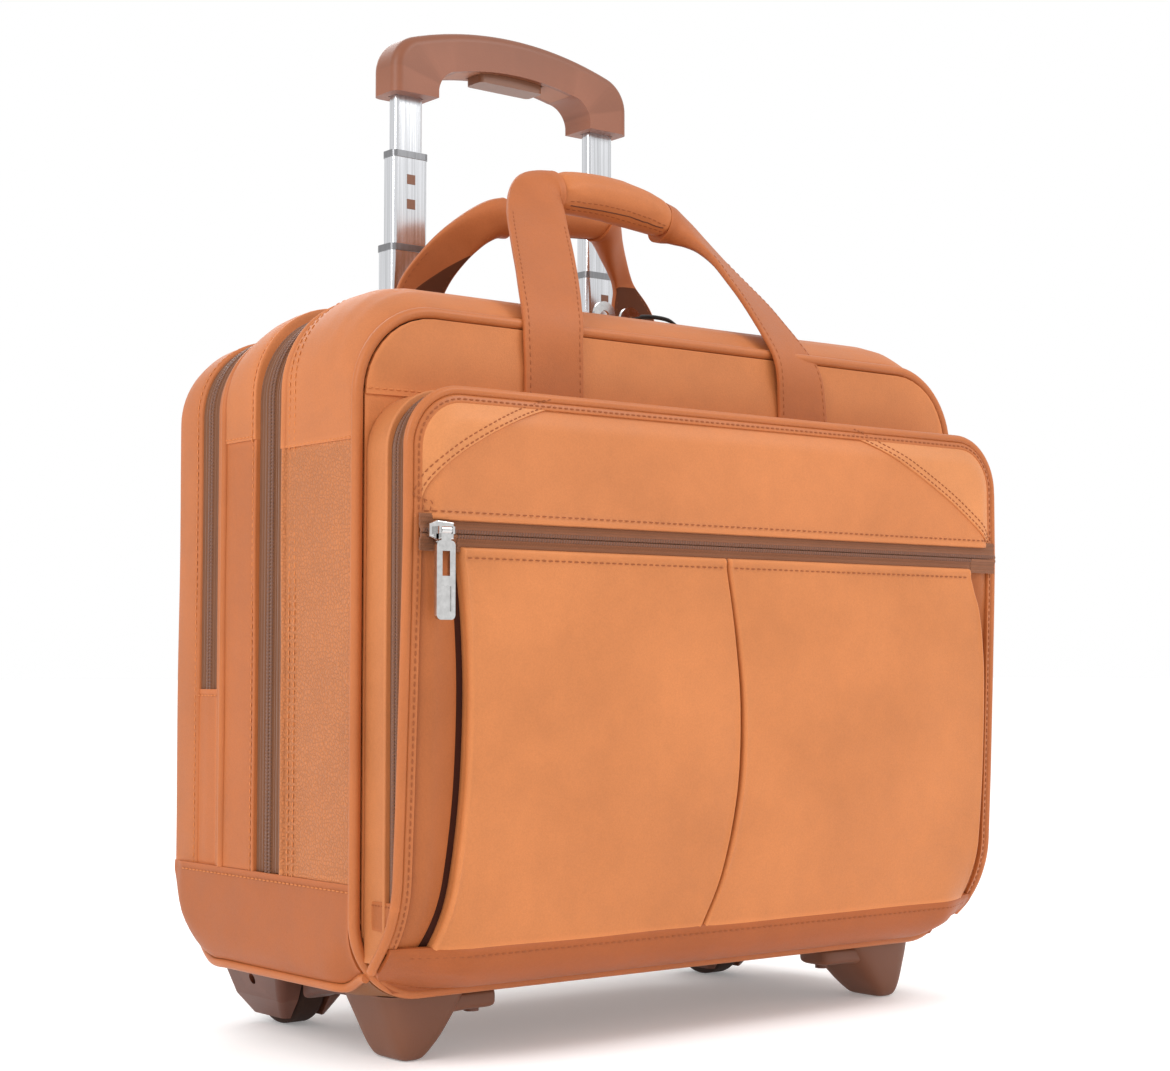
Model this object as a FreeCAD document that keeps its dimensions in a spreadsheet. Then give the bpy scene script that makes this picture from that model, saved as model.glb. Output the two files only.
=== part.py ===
import FreeCAD, Part
import Sketcher
import math
import os
from FreeCAD import Vector as V

# Rolling laptop case.
# Millimetres, +Z up, +X to the wearer's right as seen from the front, front of the case towards -Y.
# The geometry is laid out with y = 0 on the plane of the main front panel; every sub-part's
# Placement then moves it back by mid_depth, so the origin is on the ground under the middle.

os.makedirs("parts", exist_ok=True)
doc = FreeCAD.newDocument("rolling_laptop_case")

# ------------------------------------------------------------------ driving dimensions
DIMS = [
    ("mid_depth", 66.5), ("half_width", 215.0), ("base_level", 33.0), ("edge_top", 384.0),
    ("crown_top", 391.0), ("corner_rad", 48.0), ("skin", 3.4), ("band_top", 91.0),
    ("piping_rad", 3.0), ("panel_half", 211.8), ("gusset_front", 3.1), ("zip_line", 84.0),
    ("tape_front", 71.0), ("tape_rear", 97.0), ("rear_seam", 130.4), ("rear_piping_rad", 2.5),
    ("laptop_zip", 151.0), ("back_seam", 161.0), ("back_face", 187.0), ("laptop_zip_end", 182.0),
    ("pocket_half", 211.4), ("pocket_top", 336.0), ("pocket_rad", 34.0), ("pocket_zip", -28.0),
    ("front_zip_low", 256.4), ("front_zip_mid", 262.4), ("front_zip_high", 268.7),
    ("pocket_sill", 58.0), ("pocket_front", -46.0), ("panel_edge", 186.0),
    ("tube_x", 74.0), ("tube_y", 169.0), ("wall", 1.4),
    ("sleeve_w", 34.0), ("sleeve_d", 20.0), ("lower_w", 29.6), ("lower_d", 16.6),
    ("middle_w", 25.0), ("middle_d", 12.4), ("inner_w", 20.0), ("inner_d", 8.6),
    ("lower_top", 446.0), ("middle_top", 503.0), ("grip_low", 541.0), ("grip_top", 588.0),
    ("grip_half", 90.0), ("grip_d", 26.0), ("collar", 4.0),
    ("wheel_x", 157.0), ("wheel_y", 156.0), ("wheel_rad", 26.0), ("wheel_w", 18.0),
    ("hub_rad", 18.0), ("axle_rad", 3.0), ("run_gap", 0.06),
    ("foot_x", 160.0), ("strap_w", 39.0), ("strap_x", 90.0), ("strap_t", 3.0),
    ("front_roll_rad", 14.5), ("rear_roll_rad", 13.0), ("roll_half", 50.0),
]
sheet = doc.addObject("Spreadsheet::Sheet", "dims")
for i, (alias, val) in enumerate(DIMS):
    sheet.set("A%d" % (i + 1), alias)
    sheet.set("B%d" % (i + 1), str(val))
    sheet.setAlias("B%d" % (i + 1), alias)
doc.recompute()


class Q:
    """A size together with the spreadsheet expression that gives it."""

    def __init__(self, v, e):
        self.v, self.e = float(v), e

    def __add__(self, o):
        o = q(o)
        return Q(self.v + o.v, "(%s + %s)" % (self.e, o.e))

    def __radd__(self, o):
        return q(o) + self

    def __sub__(self, o):
        o = q(o)
        return Q(self.v - o.v, "(%s - %s)" % (self.e, o.e))

    def __rsub__(self, o):
        return q(o) - self

    def __mul__(self, k):
        return Q(self.v * k, "(%s * %s)" % (self.e, repr(float(k))))

    def __neg__(self):
        return self * -1.0


def q(o):
    return o if isinstance(o, Q) else Q(o, "(%s)" % repr(float(o)))


class Dims:
    pass


D = Dims()
for alias, val in DIMS:
    setattr(D, alias, Q(getattr(sheet, alias), "dims." + alias))

NODES = {}


def keep(obj, name, at=None, rot=None):
    """Label a finished sub-part, and place it in the case's own frame."""
    obj.Label = name
    place = FreeCAD.Placement(at or V(0, 0, 0), rot or FreeCAD.Rotation())
    if obj.TypeId == "Part::Feature":
        place = place.multiply(obj.Placement)
    base = place.Base
    obj.Placement = FreeCAD.Placement(V(base.x, base.y - D.mid_depth.v, base.z), place.Rotation)
    obj.setExpression("Placement.Base.y", "%s - dims.mid_depth" % repr(float(base.y)))
    NODES[name] = obj
    return obj


# ------------------------------------------------------------------ sketch helpers
def origin_plane(body, role):
    for f in body.Origin.OriginFeatures:
        if f.Role == role:
            return f


def on_plane(body, name, role, offset=None):
    sk = body.newObject("Sketcher::SketchObject", name)
    sk.AttachmentSupport = [(origin_plane(body, role), "")]
    sk.MapMode = "FlatFace"
    if offset is not None:
        offset = q(offset)
        sk.AttachmentOffset = FreeCAD.Placement(V(0, 0, offset.v), FreeCAD.Rotation())
        sk.setExpression("AttachmentOffset.Base.z", offset.e)
    return sk


def pin_x(sk, geo, pt, val, tag):
    val = q(val)
    if val.v >= 0:
        n = sk.addConstraint(Sketcher.Constraint("DistanceX", -1, 1, geo, pt, val.v))
        ex = val.e
    else:
        n = sk.addConstraint(Sketcher.Constraint("DistanceX", geo, pt, -1, 1, -val.v))
        ex = (-val).e
    sk.renameConstraint(n, tag)
    sk.setExpression("Constraints." + tag, ex)


def pin_y(sk, geo, pt, val, tag):
    val = q(val)
    if val.v >= 0:
        n = sk.addConstraint(Sketcher.Constraint("DistanceY", -1, 1, geo, pt, val.v))
        ex = val.e
    else:
        n = sk.addConstraint(Sketcher.Constraint("DistanceY", geo, pt, -1, 1, -val.v))
        ex = (-val).e
    sk.renameConstraint(n, tag)
    sk.setExpression("Constraints." + tag, ex)


def rounded(sk, x0, x1, y0, y1, rad, tag):
    """A rounded rectangle, fully constrained to the spreadsheet."""
    x0, x1, y0, y1, rad = q(x0), q(x1), q(y0), q(y1), q(rad)
    a, b, c, d, r = x0.v, x1.v, y0.v, y1.v, rad.v
    lines = [((a + r, c), (b - r, c)), ((b, c + r), (b, d - r)),
             ((b - r, d), (a + r, d)), ((a, d - r), (a, c + r))]
    first = sk.GeometryCount
    for p, s in lines:
        sk.addGeometry(Part.LineSegment(V(p[0], p[1], 0), V(s[0], s[1], 0)), False)
    arcs = [((b - r, c + r), -90), ((b - r, d - r), 0), ((a + r, d - r), 90), ((a + r, c + r), 180)]
    for (cx, cy), st in arcs:
        circ = Part.Circle(V(cx, cy, 0), V(0, 0, 1), r)
        sk.addGeometry(Part.ArcOfCircle(circ, math.radians(st), math.radians(st + 90)), False)
    L = [first + i for i in range(4)]
    A = [first + 4 + i for i in range(4)]
    for i in range(4):
        sk.addConstraint(Sketcher.Constraint("Tangent", L[i], 2, A[i], 1))
        sk.addConstraint(Sketcher.Constraint("Tangent", A[i], 2, L[(i + 1) % 4], 1))
    sk.addConstraint(Sketcher.Constraint("Horizontal", L[0]))
    sk.addConstraint(Sketcher.Constraint("Horizontal", L[2]))
    sk.addConstraint(Sketcher.Constraint("Vertical", L[1]))
    sk.addConstraint(Sketcher.Constraint("Vertical", L[3]))
    for i in (1, 2, 3):
        sk.addConstraint(Sketcher.Constraint("Equal", A[0], A[i]))
    n = sk.addConstraint(Sketcher.Constraint("Radius", A[0], r))
    sk.renameConstraint(n, tag + "_rad")
    sk.setExpression("Constraints." + tag + "_rad", rad.e)
    pin_x(sk, L[3], 1, x0, tag + "_xa")
    pin_x(sk, L[1], 1, x1, tag + "_xb")
    pin_y(sk, L[0], 1, y0, tag + "_ya")
    pin_y(sk, L[2], 1, y1, tag + "_yb")


def pad(body, sk, length, reverse=False, name="Pad"):
    length = q(length)
    p = body.newObject("PartDesign::Pad", name)
    p.Profile = sk
    p.Length = length.v
    p.setExpression("Length", length.e)
    p.Reversed = reverse
    sk.Visibility = False
    return p


def plate_xz(name, hw, z0, z1, rad, y0, y1, inner=None):
    """A rounded plate, or a rounded ring, standing in XZ from y0 back to y1."""
    y0, y1 = q(y0), q(y1)
    body = doc.addObject("PartDesign::Body", name + "_body")
    sk = on_plane(body, name + "_outline", "XZ_Plane", -y0)
    rounded(sk, -q(hw), hw, z0, z1, rad, "outer")
    if inner is not None:
        w = q(inner)
        rounded(sk, -(q(hw) - w), q(hw) - w, q(z0) + w, q(z1) - w, q(rad) - w, "inner")
    pad(body, sk, y1 - y0, True, name + "_pad")
    return body


def box(name, x0, x1, y0, y1, z0, z1):
    b = doc.addObject("Part::Box", name)
    for prop, lo, hi in (("Length", x0, x1), ("Width", y0, y1), ("Height", z0, z1)):
        d = q(hi) - q(lo)
        setattr(b, prop, d.v)
        b.setExpression(prop, d.e)
    b.Placement.Base = V(q(x0).v, q(y0).v, q(z0).v)
    for ax, lo in (("x", x0), ("y", y0), ("z", z0)):
        b.setExpression("Placement.Base." + ax, q(lo).e)
    return b


def cut(name, base, *tools):
    tool = tools[0]
    if len(tools) > 1:
        tool = doc.addObject("Part::MultiFuse", name + "_tools")
        tool.Shapes = list(tools)
    c = doc.addObject("Part::Cut", name)
    c.Base, c.Tool = base, tool
    return c


def common(name, base, tool):
    c = doc.addObject("Part::Common", name)
    c.Base, c.Tool = base, tool
    return c


def fuse(name, *objs):
    f = doc.addObject("Part::MultiFuse", name)
    f.Shapes = list(objs)
    return f


def group(name, *objs):
    g = doc.addObject("Part::Compound", name)
    g.Links = list(objs)
    return g


def mirror_pair(name, obj):
    m = doc.addObject("Part::Mirroring", name + "_mirror")
    m.Source = obj
    m.Normal = V(1, 0, 0)
    m.Base = V(0, 0, 0)
    return group(name, obj, m)


def feature(name, shape):
    f = doc.addObject("Part::Feature", name)
    f.Shape = shape
    return f


def rect_tube(name, cx, cy, w, d, rad, z0, z1, wall=None):
    """An upright rounded rectangular tube or bar."""
    body = doc.addObject("PartDesign::Body", name + "_body")
    sk = on_plane(body, name + "_section", "XY_Plane", q(z0))
    cx, cy, w, d = q(cx), q(cy), q(w), q(d)
    rounded(sk, cx - w * 0.5, cx + w * 0.5, cy - d * 0.5, cy + d * 0.5, rad, "outer")
    if wall is not None:
        t = q(wall)
        rounded(sk, cx - w * 0.5 + t, cx + w * 0.5 - t, cy - d * 0.5 + t, cy + d * 0.5 - t,
                q(rad) - t, "bore")
    pad(body, sk, q(z1) - q(z0), False, name + "_pad")
    return body


# plain shape helpers, for pieces that neither a body nor a primitive suits
def rr_wire(hw, z0, z1, r, y=0.0):
    a, b, c, d = -hw, hw, z0, z1
    k = r * (1 - 2 ** -0.5)
    P = lambda x, z: V(x, y, z)
    e = [Part.LineSegment(P(a + r, c), P(b - r, c)).toShape(),
         Part.Arc(P(b - r, c), P(b - k, c + k), P(b, c + r)).toShape(),
         Part.LineSegment(P(b, c + r), P(b, d - r)).toShape(),
         Part.Arc(P(b, d - r), P(b - k, d - k), P(b - r, d)).toShape(),
         Part.LineSegment(P(b - r, d), P(a + r, d)).toShape(),
         Part.Arc(P(a + r, d), P(a + k, d - k), P(a, d - r)).toShape(),
         Part.LineSegment(P(a, d - r), P(a, c + r)).toShape(),
         Part.Arc(P(a, c + r), P(a + k, c + k), P(a + r, c)).toShape()]
    return Part.Wire(e)


def arch_wire(hw, z0, z1, r, y=0.0):
    """The open, upside-down U of a rounded rectangle, from z0 on one side to z0 on the other."""
    k = r * (1 - 2 ** -0.5)
    P = lambda x, z: V(x, y, z)
    return Part.Wire([
        Part.LineSegment(P(-hw, z0), P(-hw, z1 - r)).toShape(),
        Part.Arc(P(-hw, z1 - r), P(-hw + k, z1 - k), P(-hw + r, z1)).toShape(),
        Part.LineSegment(P(-hw + r, z1), P(hw - r, z1)).toShape(),
        Part.Arc(P(hw - r, z1), P(hw - k, z1 - k), P(hw, z1 - r)).toShape(),
        Part.LineSegment(P(hw, z1 - r), P(hw, z0)).toShape()])


def ring_prism(outer, inner, depth):
    """Extrude the space between two standing outlines back along Y."""
    return Part.Face(outer).extrude(V(0, depth, 0)).cut(Part.Face(inner).extrude(V(0, depth, 0)))


def poly_prism_x(pts, x0, x1):
    """Extrude a closed (y, z) outline along X."""
    w = Part.makePolygon([V(x0, y, z) for y, z in pts] + [V(x0, pts[0][0], pts[0][1])])
    return Part.Face(w).extrude(V(x1 - x0, 0, 0))


def poly_prism_y(pts, y0, y1):
    """Extrude a closed (x, z) outline along Y."""
    w = Part.makePolygon([V(x, y0, z) for x, z in pts] + [V(pts[0][0], y0, pts[0][1])])
    return Part.Face(w).extrude(V(0, y1 - y0, 0))


def loft_rects(secs, rad=None):
    """Loft between level rectangles (x0, x1, y0, y1, z)."""
    ws = []
    for x0, x1, y0, y1, z in secs:
        ws.append(Part.makePolygon([V(x0, y0, z), V(x1, y0, z), V(x1, y1, z), V(x0, y1, z), V(x0, y0, z)]))
    s = Part.makeLoft(ws, True, True)
    if rad:
        edges = [e for e in s.Edges if abs(e.Vertexes[0].Z - e.Vertexes[-1].Z) > 1.0]
        s = s.makeFillet(rad, edges)
    return s


def mbox(x0, x1, y0, y1, z0, z1):
    return Part.makeBox(x1 - x0, y1 - y0, z1 - z0, V(x0, y0, z0))


def mirrored(s):
    return s.mirror(V(0, 0, 0), V(1, 0, 0))


def both(s):
    return Part.makeCompound([s, mirrored(s)])


d = lambda n: getattr(D, n).v
FAR = 600.0

# ================================================================== base and rear shell
# Lower band of the shell: a U of leather over board, open where the wheels and feet bolt through.
band = plate_xz("base_wrap_ring", D.half_width, D.base_level, D.edge_top, D.corner_rad,
                D.gusset_front, D.back_face, D.skin)
over = box("base_wrap_over", -FAR, FAR, -FAR, FAR, D.band_top, FAR)
well_r = box("base_wrap_well_r", 132.0, 182.0, 121.0, 190.0, 20.0, 61.0)
well_l = box("base_wrap_well_l", -182.0, -132.0, 121.0, 190.0, 20.0, 61.0)
keep(cut("base_wrap_cut", band, over, well_r, well_l), "base_wrap")

# Stiff board over the bottom of the main compartment, narrower between the wheel wells.
board = fuse("base_board_fuse",
             box("base_board_a", -157.0, 157.0, 6.0, 120.5, D.base_level + 3.6, D.base_level + 7.6),
             box("base_board_b", -130.0, 130.0, 120.0, 158.0, D.base_level + 3.6, D.base_level + 7.6))
keep(board, "base_board")


def arch_ring(name, hw, top, rad, y0, y1, wall, floor):
    """The upside-down U of a rounded ring: sides and top above floor."""
    ring = plate_xz(name + "_ring", hw, D.base_level, top, rad, y0, y1, wall)
    below = box(name + "_below", -FAR, FAR, -FAR, FAR, -50.0, floor)
    return cut(name + "_open", ring, below)


# Rear half of the main compartment's leather gusset, crowned along the top.
rg_a = arch_ring("rear_gusset_a", D.half_width, D.crown_top, q(52.0), D.tape_rear, 122.0, D.skin, D.band_top + 0.1)
rg_b = arch_ring("rear_gusset_b", D.half_width, D.edge_top, q(48.0), 118.0, D.rear_seam, D.skin, D.band_top + 0.1)
rg_f = feature("rear_gusset_flange", ring_prism(
    rr_wire(d("half_width"), 33.0, d("crown_top"), 52.0, 118.0),
    rr_wire(d("half_width") - d("skin"), 33.0 + d("skin"), d("edge_top") - d("skin"), 48.0 - d("skin"), 118.0), 4.0
    ).cut(mbox(-FAR, FAR, -FAR, FAR, -50, d("band_top") + 0.1)))
keep(fuse("rear_gusset_fuse", rg_a, rg_b, rg_f), "rear_gusset")


def zip_tape(name, hw, top, rad, y0, y1, floor, tooth_side):
    """Woven tape with its half of the coil standing proud at the meeting edge."""
    tape = arch_ring(name + "_tape", hw, top, rad, y0, y1, q(1.4), floor)
    if tooth_side > 0:
        ya, yb = q(y1) - 1.6, q(y1)
    else:
        ya, yb = q(y0), q(y0) + 1.6
    coil = arch_ring(name + "_coil", q(hw) + 0.9, q(top) + 0.9, q(rad) + 0.9, ya, yb, q(2.0), floor)
    return fuse(name + "_fuse", tape, coil)


keep(zip_tape("main_zip_rear", D.half_width - 1.2, D.crown_top - 1.2, q(50.8), D.zip_line + 0.05,
              D.tape_rear - 0.05, D.band_top + 0.1, -1), "main_zip_rear_tape")

# Stiff divider between the main and the laptop compartments, notched over the wheel wells.
div = plate_xz("divider_plate", D.panel_half - 0.6, D.base_level + 3.6, D.edge_top - 5.2, q(44.0), 132.9, 135.5)
keep(cut("divider_cut", div, box("divider_notch_r", 131.0, 240.0, 120.0, 190.0, 0.0, 62.0),
         box("divider_notch_l", -240.0, -131.0, 120.0, 190.0, 0.0, 62.0),
         box("divider_notch_board", -131.5, 131.5, 120.0, 190.0, 0.0, D.base_level + 7.6)), "divider_wall")

# Piping where the main gusset meets the rear edge.
pw = arch_wire(d("half_width") - 1.0, d("band_top") + 0.1, d("edge_top") - 2.6, 45.0, 133.0)
prof = Part.Wire([Part.makeCircle(d("rear_piping_rad"), V(-(d("half_width") - 1.0), 133.0, d("band_top") + 0.1), V(0, 0, 1))])
keep(feature("rear_piping_sweep", pw.makePipeShell([prof], True, False)), "rear_piping")

# Narrow leather edge behind the piping, with the closed side strips below the laptop zip's ends.
edge = arch_ring("edge_strip", D.half_width - 1.2, D.edge_top - 1.4, q(46.6), 135.6, 141.0, D.skin, D.band_top + 0.1)
low = feature("edge_low", both(mbox(d("half_width") - 4.6, d("half_width") - 1.2, 141.0, d("back_seam") - 0.05,
                                    d("band_top") + 0.1, d("laptop_zip_end") - 0.1)))
slot_r = box("edge_slot_r", 70.0, 110.0, 137.0, 140.2, 340.0, 400.0)
slot_l = box("edge_slot_l", -110.0, -70.0, 137.0, 140.2, 340.0, 400.0)
keep(cut("edge_cut", fuse("edge_fuse", edge, low), slot_r, slot_l), "rear_edge_strip")

# Tapes of the laptop compartment's zip that stay with the shell: the rear one, and the front one's sides.
lz_rear = zip_tape("laptop_zip_rear", D.half_width - 2.2, D.edge_top - 2.6, q(45.6), D.laptop_zip + 0.05,
                   D.back_seam - 0.05, D.laptop_zip_end, -1)
lz_front = zip_tape("laptop_zip_side", D.half_width - 2.2, D.edge_top - 2.6, q(45.6), 141.05,
                    D.laptop_zip - 0.05, D.laptop_zip_end, 1)
lz_gap = box("laptop_zip_gap", -165.0, 165.0, 130.0, D.laptop_zip - 0.05, 330.0, 400.0)
lz_notch = [box("laptop_zip_notch_%s" % n, s - 22.5, s + 22.5, 157.3, 190.0, 370.0, 400.0)
            for n, s in (("r", d("tube_x")), ("l", -d("tube_x")))]
keep(group("laptop_zip_group", cut("laptop_zip_rear_cut", lz_rear, *lz_notch),
           cut("laptop_zip_side_cut", lz_front, lz_gap)), "laptop_zip_tapes")

# Back band and back panel round the trolley.
bg = arch_ring("back_band", D.half_width - 2.0, D.edge_top - 4.0, q(46.0), D.back_seam, D.back_face - 3.05, q(3.0), D.band_top + 0.1)
hole = [box("back_band_hole_%s" % n, s - 17.2, s + 17.2, 158.0, 179.4, 360.0, 400.0)
        for n, s in (("r", d("tube_x")), ("l", -d("tube_x")))]
keep(cut("back_band_cut", bg, *hole), "back_gusset")
back = plate_xz("back_plate", D.panel_half - 0.4, D.base_level + 3.6, D.edge_top - 4.6, q(44.4), D.back_face - 3.0, D.back_face)
keep(cut("back_cut", back, box("back_notch_r", 131.5, 182.5, 180.0, 190.0, 0.0, 61.5),
         box("back_notch_l", -182.5, -131.5, 180.0, 190.0, 0.0, 61.5)), "back_panel")

# Ribbed plastic wall in front of the trolley.
tw = plate_xz("trolley_plate", q(203.0), q(63.0), q(372.0), q(34.0), 156.6, 158.8)
keep(tw, "trolley_wall")

# Fixed sleeves, their foot bracket, and the bezels on top.
sl = rect_tube("sleeve", D.tube_x, D.tube_y, D.sleeve_w, D.sleeve_d, q(4.0), 60.0, 379.8, q(1.4))
keep(mirror_pair("sleeve_pair", sl), "sleeve_tubes")
br = rect_tube("bracket", q(0.0) + 0.0, D.tube_y, q(204.0), q(22.0), q(3.0), D.base_level + 7.7, 59.9)
br_mid = box("bracket_lighten", -52.0, 52.0, 161.0, 177.0, D.base_level + 7.0, 55.0)
keep(cut("bracket_cut", br, br_mid), "trolley_bracket")
bz = rect_tube("bezel", D.tube_x, D.tube_y + 0.6, q(43.0), q(24.0), q(5.0), D.edge_top - 3.9, D.edge_top - 0.2)
bz_hole = rect_tube("bezel_hole", D.tube_x, D.tube_y, D.lower_w + 0.8, D.lower_d + 0.8, q(3.4), 370.0, 390.0)
keep(mirror_pair("bezel_pair", cut("bezel_cut", bz, bz_hole)), "trolley_bezels")

# Wheel housings: a moulded fairing below the base and a well above it, open at the bottom.
wx, wy, wr = d("wheel_x"), d("wheel_y"), d("wheel_rad")
fairing = loft_rects([(133.0, 184.0, 124.0, 187.0, 32.9), (138.0, 178.0, 131.0, 183.0, 16.0),
                      (143.5, 171.0, 139.0, 174.0, 5.0)])
fl = [e for e in fairing.Edges if abs(e.Vertexes[0].Z - e.Vertexes[-1].Z) > 1.0]
fairing = fairing.makeFillet(5.0, fl)
well = mbox(134.0, 180.0, 122.0, 186.9, 32.9, 60.0)
arch = Part.makeCylinder(wr + 2.5, 20.0, V(wx - 10.0, wy, wr), V(1, 0, 0))
mouth = mbox(wx - 10.0, wx + 10.0, wy - wr - 2.5, wy + wr + 2.5, -5.0, wr)
bore = Part.makeCylinder(d("axle_rad") + 0.01, 60.0, V(127.0, wy, wr), V(1, 0, 0))
housing = fairing.fuse(well).cut(arch).cut(mouth).cut(bore).removeSplitter()
keep(feature("housing_pair", both(housing)), "wheel_housings")
axle = Part.makeCylinder(d("axle_rad"), 34.0, V(wx - 17.0, wy, wr), V(1, 0, 0))
keep(feature("axle_pair", both(axle)), "wheel_axles")

# Front feet, each with a flange lug, and the skid rail that runs back to the wheel housing.
post = loft_rects([(137.0, 189.0, 6.0, 58.0, 32.9), (143.0, 183.0, 6.5, 50.0, 14.0), (148.0, 174.0, 9.0, 40.0, 0.0)])
fe = [e for e in post.Edges if abs(e.Vertexes[0].Z - e.Vertexes[-1].Z) > 1.0]
post = post.makeFillet(4.0, fe)
lug = mbox(119.0, 140.0, 10.0, 36.0, 22.0, 32.9)
rail = mbox(150.0, 170.0, 45.0, 121.0, 16.0, 32.9)
foot = post.fuse(lug).fuse(rail).removeSplitter()
keep(feature("foot_pair", both(foot)), "foot_rails")

# Screws that hold the feet and the housings to the base board.
scr = []
for x, y, z0, top in ((128.0, 23.0, 22.0, 36.4), (145.0, 62.0, 0.0, 0.0)):
    if top == 0.0:
        continue
    head = Part.makeCylinder(4.0, 2.2, V(x, y, z0 - 2.2), V(0, 0, 1))
    scr.append(head)
keep(feature("screw_group", Part.makeCompound([s for h in scr for s in (h, mirrored(h))])), "base_screws")

# Tabs of the rear carry handle, sewn down behind the divider.
tab = mbox(70.5, 109.5, 137.2, 140.0, 345.0, 386.0)
keep(feature("rear_tabs", both(tab)), "rear_handle_anchors")

# Hanging file divider inside the main compartment.
fd = plate_xz("file_plate", q(196.0), q(44.0), q(330.0), q(14.0), 104.0, 106.4)
keep(fd, "file_divider")

# ================================================================== front shell
pr = d("piping_rad")
ring = rr_wire(d("half_width"), d("base_level") + pr, d("edge_top") - pr + 0.5, 48.0, 0.0)
start = ring.Vertexes[0].Point


def ring_pipe(rad):
    """The round cord that runs all the way round the front edge."""
    return ring.makePipeShell([Part.Wire([Part.makeCircle(rad, start, V(1, 0, 0))])], True, False)


keep(feature("front_piping_sweep", ring_pipe(pr)), "front_piping")
front_plate = plate_xz("front_plate", D.panel_half, D.base_level + 3.6, D.edge_top - 5.6, q(44.6), -1.5, 1.5)
keep(cut("front_panel_cut", front_plate, feature("front_panel_groove", ring_pipe(pr + 0.03))), "front_panel")

fg_floor = D.band_top + 0.4
fa = arch_ring("front_gusset_a", D.half_width, D.edge_top + 0.5, D.corner_rad, D.gusset_front, 16.0, D.skin, fg_floor)
fb = arch_ring("front_gusset_b", D.half_width, D.crown_top, q(52.0), 12.0, D.tape_front, D.skin, fg_floor)
ff = feature("front_gusset_flange", ring_prism(
    rr_wire(d("half_width"), 33.0, d("crown_top"), 52.0, 12.0),
    rr_wire(d("half_width") - d("skin"), 33.0 + d("skin"), d("edge_top") + 0.5 - d("skin"), 48.0 - d("skin"), 12.0), 4.0
    ).cut(mbox(-FAR, FAR, -FAR, FAR, -50, d("band_top") + 0.4)))
# lower side walls, nested inside the base band so that the shell can swing forward
nest = feature("front_gusset_nest", ring_prism(
    rr_wire(d("half_width") - 3.6, 36.6, 384.0, 44.4, d("gusset_front") + 0.1),
    rr_wire(d("half_width") - 6.6, 39.6, 381.0, 41.4, d("gusset_front") + 0.1), 80.6
    ).cut(mbox(-FAR, FAR, -FAR, FAR, 112.0, FAR)).cut(mbox(-162.0, 162.0, -FAR, FAR, -FAR, FAR)))
step = feature("front_gusset_step", both(mbox(d("half_width") - 5.0, d("half_width") - 1.0, d("gusset_front") + 0.1,
                                              d("tape_front"), d("band_top") + 0.4, 112.0)))
keep(fuse("front_gusset_fuse", fa, fb, ff, nest, step), "front_gusset")

keep(zip_tape("main_zip_front", D.half_width - 1.2, D.crown_top - 1.2, q(50.8), D.tape_front + 0.05,
              D.zip_line - 0.05, D.band_top + 0.4, 1), "main_zip_front_tape")

# Gusset of the front pocket, with a closed floor, open to the front.
pg = plate_xz("pocket_gusset_ring", D.pocket_half, D.base_level + 3.6, D.pocket_top, q(34.0), -21.0, -1.6, q(2.6))
keep(cut("pocket_gusset_cut", pg, feature("pocket_gusset_groove", ring_pipe(pr + 0.03))), "pocket_gusset")
keep(arch_ring("pocket_zip_rear", D.pocket_half - 1.0, D.pocket_top - 1.0, q(33.0), D.pocket_zip + 0.02, -21.05, q(1.4), q(75.0)),
     "pocket_zip_rear_tape")

# Bottom band of the pocket: its leather closes from the pocket's front down to the lower piping.
outer = [(-36.6, 58.0), (-36.0, 53.0), (-33.0, 47.0), (-27.0, 42.0), (-19.0, 38.6), (-3.2, 36.7)]
inner = [(-3.2, 39.4), (-18.0, 41.4), (-25.4, 44.6), (-30.6, 49.0), (-33.2, 54.0), (-33.6, 58.0)]
bandp = poly_prism_x(outer + inner, -208.0, 208.0)
clip = Part.Face(rr_wire(d("pocket_half") - 2.7, 36.7, 336.0, 40.0, -60.0)).extrude(V(0, 58.0, 0))
bandp = bandp.common(clip)
bandp = bandp.cut(ring_prism(rr_wire(d("pocket_half") + 6, 20.0, 350.0, 34.0, -21.02),
                             rr_wire(d("pocket_half") - 2.62, 36.6 + 2.62, 333.38, 31.38, -21.02), 20.0))
keep(feature("bottom_band", bandp), "pocket_bottom_band")

tabf = mbox(d("strap_x") - d("strap_w") / 2, d("strap_x") + d("strap_w") / 2, -4.5, -1.6, 337.0, 374.0)
tabf = tabf.fuse(mbox(d("strap_x") - d("strap_w") / 2, d("strap_x") + d("strap_w") / 2, -6.4, -3.4, 364.0, 374.0))
keep(feature("front_tabs", both(tabf.removeSplitter())), "front_handle_anchors")

# Card and pen pockets on the inside of the front compartment.
org = mbox(-180.0, 180.0, -4.4, -1.7, 70.0, 300.0)
for x0, x1, top in ((-176.0, -66.0, 210.0), (-60.0, 50.0, 180.0), (56.0, 96.0, 240.0), (100.0, 176.0, 200.0)):
    org = org.fuse(mbox(x0, x1, -7.6, -6.4, 80.0, top)).fuse(mbox(x0, x0 + 2.0, -7.6, -4.4, 80.0, top))
    org = org.fuse(mbox(x1 - 2.0, x1, -7.6, -4.4, 80.0, top)).fuse(mbox(x0, x1, -7.6, -4.4, 80.0, 82.0))
keep(feature("organizer_shape", org.removeSplitter()), "organizer_pockets")

# ================================================================== front flap and pleated pocket
FRONT = [(58.1, -36.6), (135.0, -40.6), (235.0, -45.0), (262.0, -46.0), (326.0, -46.0), (333.4, -43.6)]


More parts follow.
